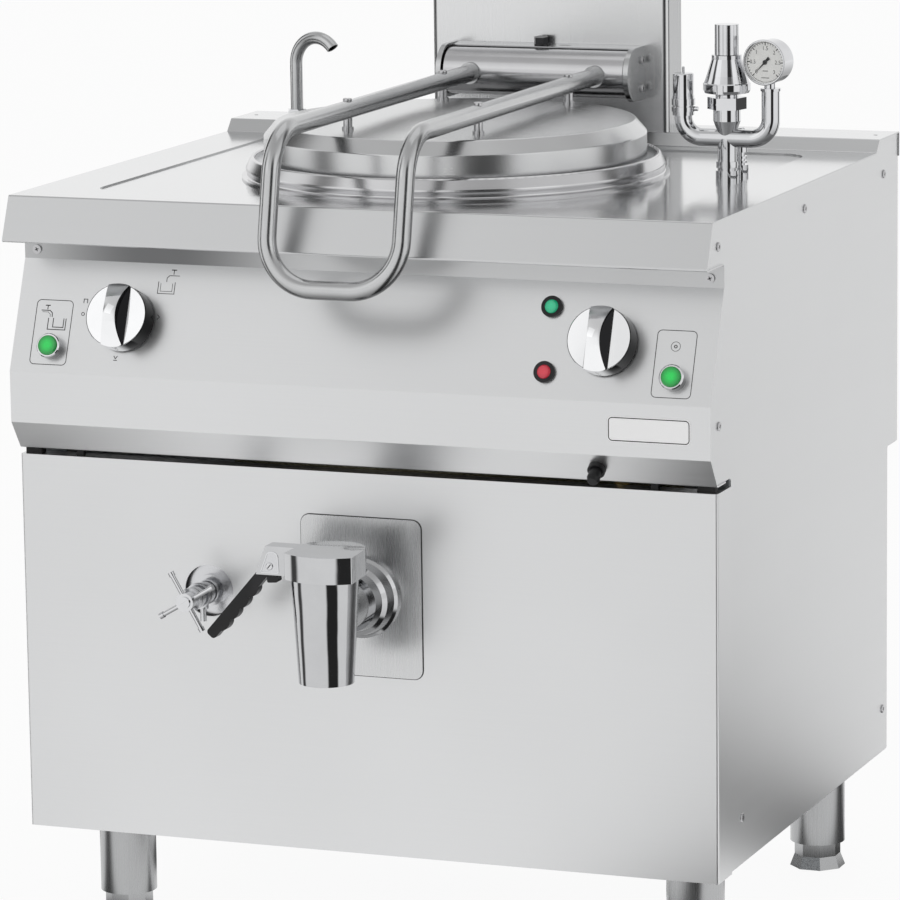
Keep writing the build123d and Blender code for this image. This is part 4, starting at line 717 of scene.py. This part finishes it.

# %% [markdown]
# Screw heads need their drive. A dark cross on each head is painted shade that stands for the recess.
# Its two bars are only a few hundredths of a millimetre proud of the head.

# %% Drives of the screws
FRONT = -276.5
HINGE_Y, HANDLE_Z = 302.5, 912.0
DRIVE_TURN, DRIVE_REACH = 0.4, 2.3
SIDE_SCREWS = ((22, 802), (322, 802), (624, 802), (22, 614), (96, 178), (623, 178))
heads = []  # the face of each head, and how far the cross stands out of it
for sign in (-1, 1):
    places = [(400.02, FRONT + setback, height) for setback, height in SIDE_SCREWS]
    places += [(120.12, HINGE_Y + 18, HANDLE_Z + 15), (120.12, HINGE_Y + 18, HANDLE_Z - 17)]
    heads += [(Face((sign * x, y, z), (0, 0, 1), (sign, 0, 0)), 0.04) for x, y, z in places]
    heads.append((Face((sign * 385, FRONT + 34.68, 766.5), (0, 0, 1), (0, -1, 0)), 0.06))
drive_shades = []
for face, proud in heads:
    for turn in (DRIVE_TURN, DRIVE_TURN + pi / 2):
        arm = np.array((cos(turn), sin(turn))) * DRIVE_REACH
        drive_shades.append(stroke(face, [-arm, arm], 1.0, -0.05, proud))
add_piece("screw_drive_shades", *join(drive_shades), black_print, "cabinet", "black_plastic")

# %% [markdown]
# Where the handle's arms meet the drum they are welded all round. A weld bead is a torus that hugs
# the tube.

# %% Welds of the handle
ARM_X, TUBE_RADIUS, BEAD_RADIUS = 76, 10.0, 1.1
WELD_Y = HINGE_Y - 26.6
arm_ends = [(side * ARM_X, WELD_Y, HANDLE_Z) for side in (-1, 1)]
beads = [ring(end, (0, 1, 0), TUBE_RADIUS, BEAD_RADIUS) for end in arm_ends]
add_piece("handle_welds", *join(beads), drum_steel, "lid", "polished", smooth=True)

# %% [markdown]
# The drain tap's cap has an ear that carries the lever. Its front is cast with a panel that narrows
# to the top, and a slotted screw holds the lever's pin. The panel is a dull plate inside a bright
# rim, each a fraction of a millimetre proud, so the rim catches a line of light.

# %% Ear of the drain tap
ear = Face((0, -358.5, 0), (0, 0, 1), (0, -1, 0))
lower = [(-75.2, 450.6), (-57.4, 450.6), (-56.2, 451.8)]
upper_turn = np.linspace(0, pi, 9)
arch = np.stack([-63.6 + 6.6 * np.cos(upper_turn), 467.5 + 5.6 * np.sin(upper_turn)], 1)
ear_outline = np.concatenate([lower, arch, [(-76.2, 452.0)]])
add_piece("ear_panel", *slab(ear, ear_outline, 0.0, 0.12), satin_chrome, "tap_cap", "chrome")
ear_rim = stroke(ear, ear_outline, 1.1, 0.0, 0.7, closed=True)
add_piece("ear_rim", *ear_rim, chrome, "tap_cap", "chrome")
EAR_SCREW = (-66.5, 457.5)
ear_screw = slab(ear, circle(4.0, EAR_SCREW), 0.05, 1.3, round_off=0.5)
add_piece("ear_screw", *ear_screw, chrome, "tap_cap", "chrome")
# The screw's slot is a dark line of painted shade.
slot_way = np.array((cos(radians(50)), sin(radians(50)))) * 2.9
slot_shade = stroke(ear, [EAR_SCREW - slot_way, EAR_SCREW + slot_way], 1.1, 1.2, 1.34)
add_piece("ear_screw_slot_shade", *slot_shade, black_print, "tap_cap", "black_plastic")

# %% [markdown]
# A knob is a disc with a finger bar across it. The bar stands highest in the middle and runs out at
# the rim, as a slice of a drum does, and its walls lean, so that its top is a waist. Two flat cheeks
# are left beside it, each with a fine dark edge. All of it is one sheet of points: rows along the
# bar, columns across.

# %% Knobs
KNOB_RADIUS, KNOB_FACE, KNOB_BACK = 35.0, 26.0, 4.4
KNOB_EASE = 0.5
BAR_RISE, BAR_FOOT, BAR_LEAN = 19.0, 13.0, 6.0
BAR_CROWN = 0.9


def knob(face):
    """At v along the bar it is h = BAR_RISE (1 - (v / R)^2) high, over the knob's face.

    Its half width there goes from BAR_FOOT below to BAR_FOOT - BAR_LEAN h / BAR_RISE on top, where it
    is crowned by up to BAR_CROWN.
    """
    v = KNOB_RADIUS * np.sin(np.linspace(-pi / 2 + 0.03, pi / 2 - 0.03, 41))[:, None]
    edge = np.sqrt(KNOB_RADIUS**2 - v**2)
    rise = BAR_RISE * (1 - (v / KNOB_RADIUS) ** 2)
    waist = BAR_FOOT - BAR_LEAN * rise / BAR_RISE
    crown = np.array((-1.0, -0.8, -0.4, 0.0, 0.4, 0.8, 1.0))[None, :]
    top_height = KNOB_FACE + rise - BAR_CROWN * crown**2 * rise / BAR_RISE
    eased, foot = edge - KNOB_EASE, np.full_like(v, BAR_FOOT)
    across = np.concatenate([-edge, -eased, -foot, crown * waist, foot, eased, edge], 1)
    across = np.clip(across, -edge, edge)
    level = np.full_like(v, KNOB_FACE)
    low = level - KNOB_EASE
    height = np.concatenate([low, level, level, top_height, level, level, low], 1)
    rows, columns = across.shape
    flat = np.stack([across, np.broadcast_to(v, across.shape)], -1).reshape(-1, 2)
    front = face.at(flat) + height.reshape(-1, 1) * face.out
    grid = np.arange(rows * columns).reshape(rows, columns)
    corners = (grid[:-1, :-1], grid[:-1, 1:], grid[1:, 1:], grid[1:, :-1])
    faces = np.stack(corners, -1).reshape(-1, 4).tolist()
    rim = np.concatenate([grid[0], grid[1:, -1], grid[-1, -2::-1], grid[-2:0:-1, 0]])
    back = face.at(flat[rim], KNOB_BACK)
    around = np.arange(len(rim))
    after = (around + 1) % len(rim)
    faces += np.stack([rim, rim[after], after + rows * columns, around + rows * columns], 1).tolist()
    faces.append((around + rows * columns).tolist())
    return np.concatenate([front, back]), faces


KNOB_DROP = 64.5
CHEEK_RADIUS = KNOB_RADIUS - 0.7
for x, body in ((-271, "water_knob"), (279, "gas_knob")):
    knob_face = Face(console.at([(x, -KNOB_DROP)])[0], CONSOLE_UP, CONSOLE_OUT)
    body_piece = add_piece(body + "_body", *knob(knob_face), knob_chrome, body, "chrome", smooth=True)
    body_piece.data.set_sharp_from_angle(angle=radians(32))
    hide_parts(body)
    cheeks = []
    for side in (-1, 1):
        half_turn = np.arccos((BAR_FOOT + 0.3) / CHEEK_RADIUS)
        turn = np.linspace(-half_turn, half_turn, 25)
        arc = np.stack([side * np.cos(turn), side * np.sin(turn)], 1) * CHEEK_RADIUS
        cheeks.append(stroke(knob_face, arc, 0.5, KNOB_FACE - 0.1, KNOB_FACE + 0.06, closed=True))
    add_piece(body + "_edges", *join(cheeks), black_print, body, "black_plastic")

# %% [markdown]
# The floor and the backdrop are one pale sheet, lit softly. Metal needs something to mirror:
# a studio gives it white panels and black flags. Here the sky does that: pale all round, greyer
# overhead, with soft dark bands at a few bearings, while the camera itself sees plain white.

# %% Studio sky
world = bpy.data.worlds.new("studio")
bpy.context.scene.world = world
world.use_nodes = True
sky_tree = world.node_tree
background = next(n for n in sky_tree.nodes if n.type == "BACKGROUND")
# bearing from the front, half width and soft edge, all in degrees, and darkness
FLAGS = ((37, 16, 3, 1.0), (128, 10, 4, 0.95), (-64, 8, 4, 0.95), (-114, 14, 5, 1.0))


def flags_at(way):
    """How dark the flags make the bearing of a direction, from 0 to 1."""
    bearing = way.math("ARCTAN2", way.part("X"), 0 - way.part("Y"))
    cover = 0.0
    for centre, half, soft, dark in FLAGS:
        away = abs(bearing - radians(centre))
        cover = (1 - away.step(radians(half - soft), radians(half + soft))) * dark + cover
    return cover.at_most(1.0)


sky = Wire(sky_tree, None)
way = sky.node("ShaderNodeTexCoord", output=0)
rise = way.part("Z")
cover = flags_at(way) * (1 - rise.step(0.45, 0.8))
brightness = (0.95 - rise.step(0.25, 0.95) * 0.4 - way.part("X") * 0.06) * (1 - cover * 0.96)
rays = sky.node("ShaderNodeLightPath", output=0)
shown = rays + (1 - rays) * brightness
sky_tree.links.new(shown.grey().socket, background.inputs["Color"])
background.inputs["Strength"].default_value = 1.0

# %% [markdown]
# The floor is a pale sheet. The camera sees it as white as the backdrop, with only a trace of the
# shadow, and what a fitting mirrors of it carries the same flags as the sky, so that they don't end
# at the horizon.

# %% Floor
floor_finish = Finish("studio_floor", Roughness=0.6)
speck = floor_finish.place.noise(2.0, 2.0)
floor_finish.feed("Base Color", speck.blend((0.84, 0.84, 0.84), (0.87, 0.87, 0.87)))
seen = floor_finish.place.node("ShaderNodeLightPath", output=0)
mirrored = floor_finish.place.node("ShaderNodeLightPath", output=3)
glow = seen + (1 - seen) * (1 - flags_at(floor_finish.place) * 0.97)
emission = glow.node("ShaderNodeEmission", None, {"Color": glow.grey()})
share = (seen * 0.93 + mirrored).at_most(1.0)
lit = Wire(share.tree, floor_finish.shader.outputs[0])
mixed = share.node("ShaderNodeMixShader", None, {0: share, 1: lit, 2: emission})
output = next(n for n in share.tree.nodes if n.type == "OUTPUT_MATERIAL")
share.tree.links.new(mixed.socket, output.inputs["Surface"])
FLOOR_SIDES, FLOOR_RINGS, FLOOR_HEIGHT = 48, (0.0, 1.5, 6.0, 30.0), -0.0005
turn, reach = np.meshgrid(np.arange(FLOOR_SIDES) * (2 * pi / FLOOR_SIDES), FLOOR_RINGS)
level = np.full(turn.shape, FLOOR_HEIGHT)
floor_points = np.stack([reach * np.cos(turn), reach * np.sin(turn), level], -1).reshape(-1, 3)
floor_faces = strip_faces(len(FLOOR_RINGS), FLOOR_SIDES)[:, ::-1]
floor_mesh = bpy.data.meshes.new("studio_floor")
floor_mesh.from_pydata(floor_points.tolist(), [], floor_faces.tolist())
floor_mesh.materials.append(floor_finish.material)
studio_floor = bpy.data.objects.new("studio_floor", floor_mesh)
bpy.context.scene.collection.objects.link(studio_floor)


# %% [markdown]
# Three large soft lamps help the sky: the key from the left, a weaker fill from the right, and one
# overhead that brightens the worktop.


# %% Lamps
def soft_box(name, place, aim, size, power):
    """A square area lamp that looks from place to aim, in metres and watts."""
    data = bpy.data.lights.new(name, "AREA")
    data.shape = "SQUARE"
    data.size = size
    data.energy = power
    lamp = bpy.data.objects.new(name, data)
    lamp.location = place
    lamp.rotation_mode = "QUATERNION"
    lamp.rotation_quaternion = (Vector(aim) - Vector(place)).to_track_quat("-Z", "Y")
    bpy.context.scene.collection.objects.link(lamp)


soft_box("key", (-2.2, -3.2, 3.4), (0, 0, 0.6), 2.4, 3.5)
soft_box("fill", (3.4, -1.6, 2.2), (0, 0, 0.6), 2.0, 2.5)
soft_box("overhead", (0.2, 0.6, 3.6), (0, 0, 0.8), 2.2, 5)

# %% [markdown]
# The camera stands to the right and a little above, far off with a long lens, so that upright edges
# stay upright. Its turn is given by three unit vectors: right, up and back.

# %% Camera
CAMERA_PLACE = (2.0354, -5.2263, 1.5574)
yaw, pitch, roll = radians(21.277), radians(10.454), radians(-0.767)
ahead = np.array((-sin(yaw) * cos(pitch), cos(yaw) * cos(pitch), -sin(pitch)))
sideways = np.array((cos(yaw), sin(yaw), 0.0))
upright = np.cross(sideways, ahead)
right = cos(roll) * sideways + sin(roll) * upright
up = cos(roll) * upright - sin(roll) * sideways
camera_data = bpy.data.cameras.new("studio_camera")
camera_data.lens = 205.0
camera_data.sensor_width = 36.0
camera_data.clip_end = 60.0
camera = bpy.data.objects.new("studio_camera", camera_data)
stand = Matrix(np.stack([right, up, -ahead], 1).tolist()).to_4x4()
stand.translation = CAMERA_PLACE
camera.matrix_world = stand
bpy.context.scene.collection.objects.link(camera)
bpy.context.scene.camera = camera
bpy.context.scene.view_settings.view_transform = "Standard"
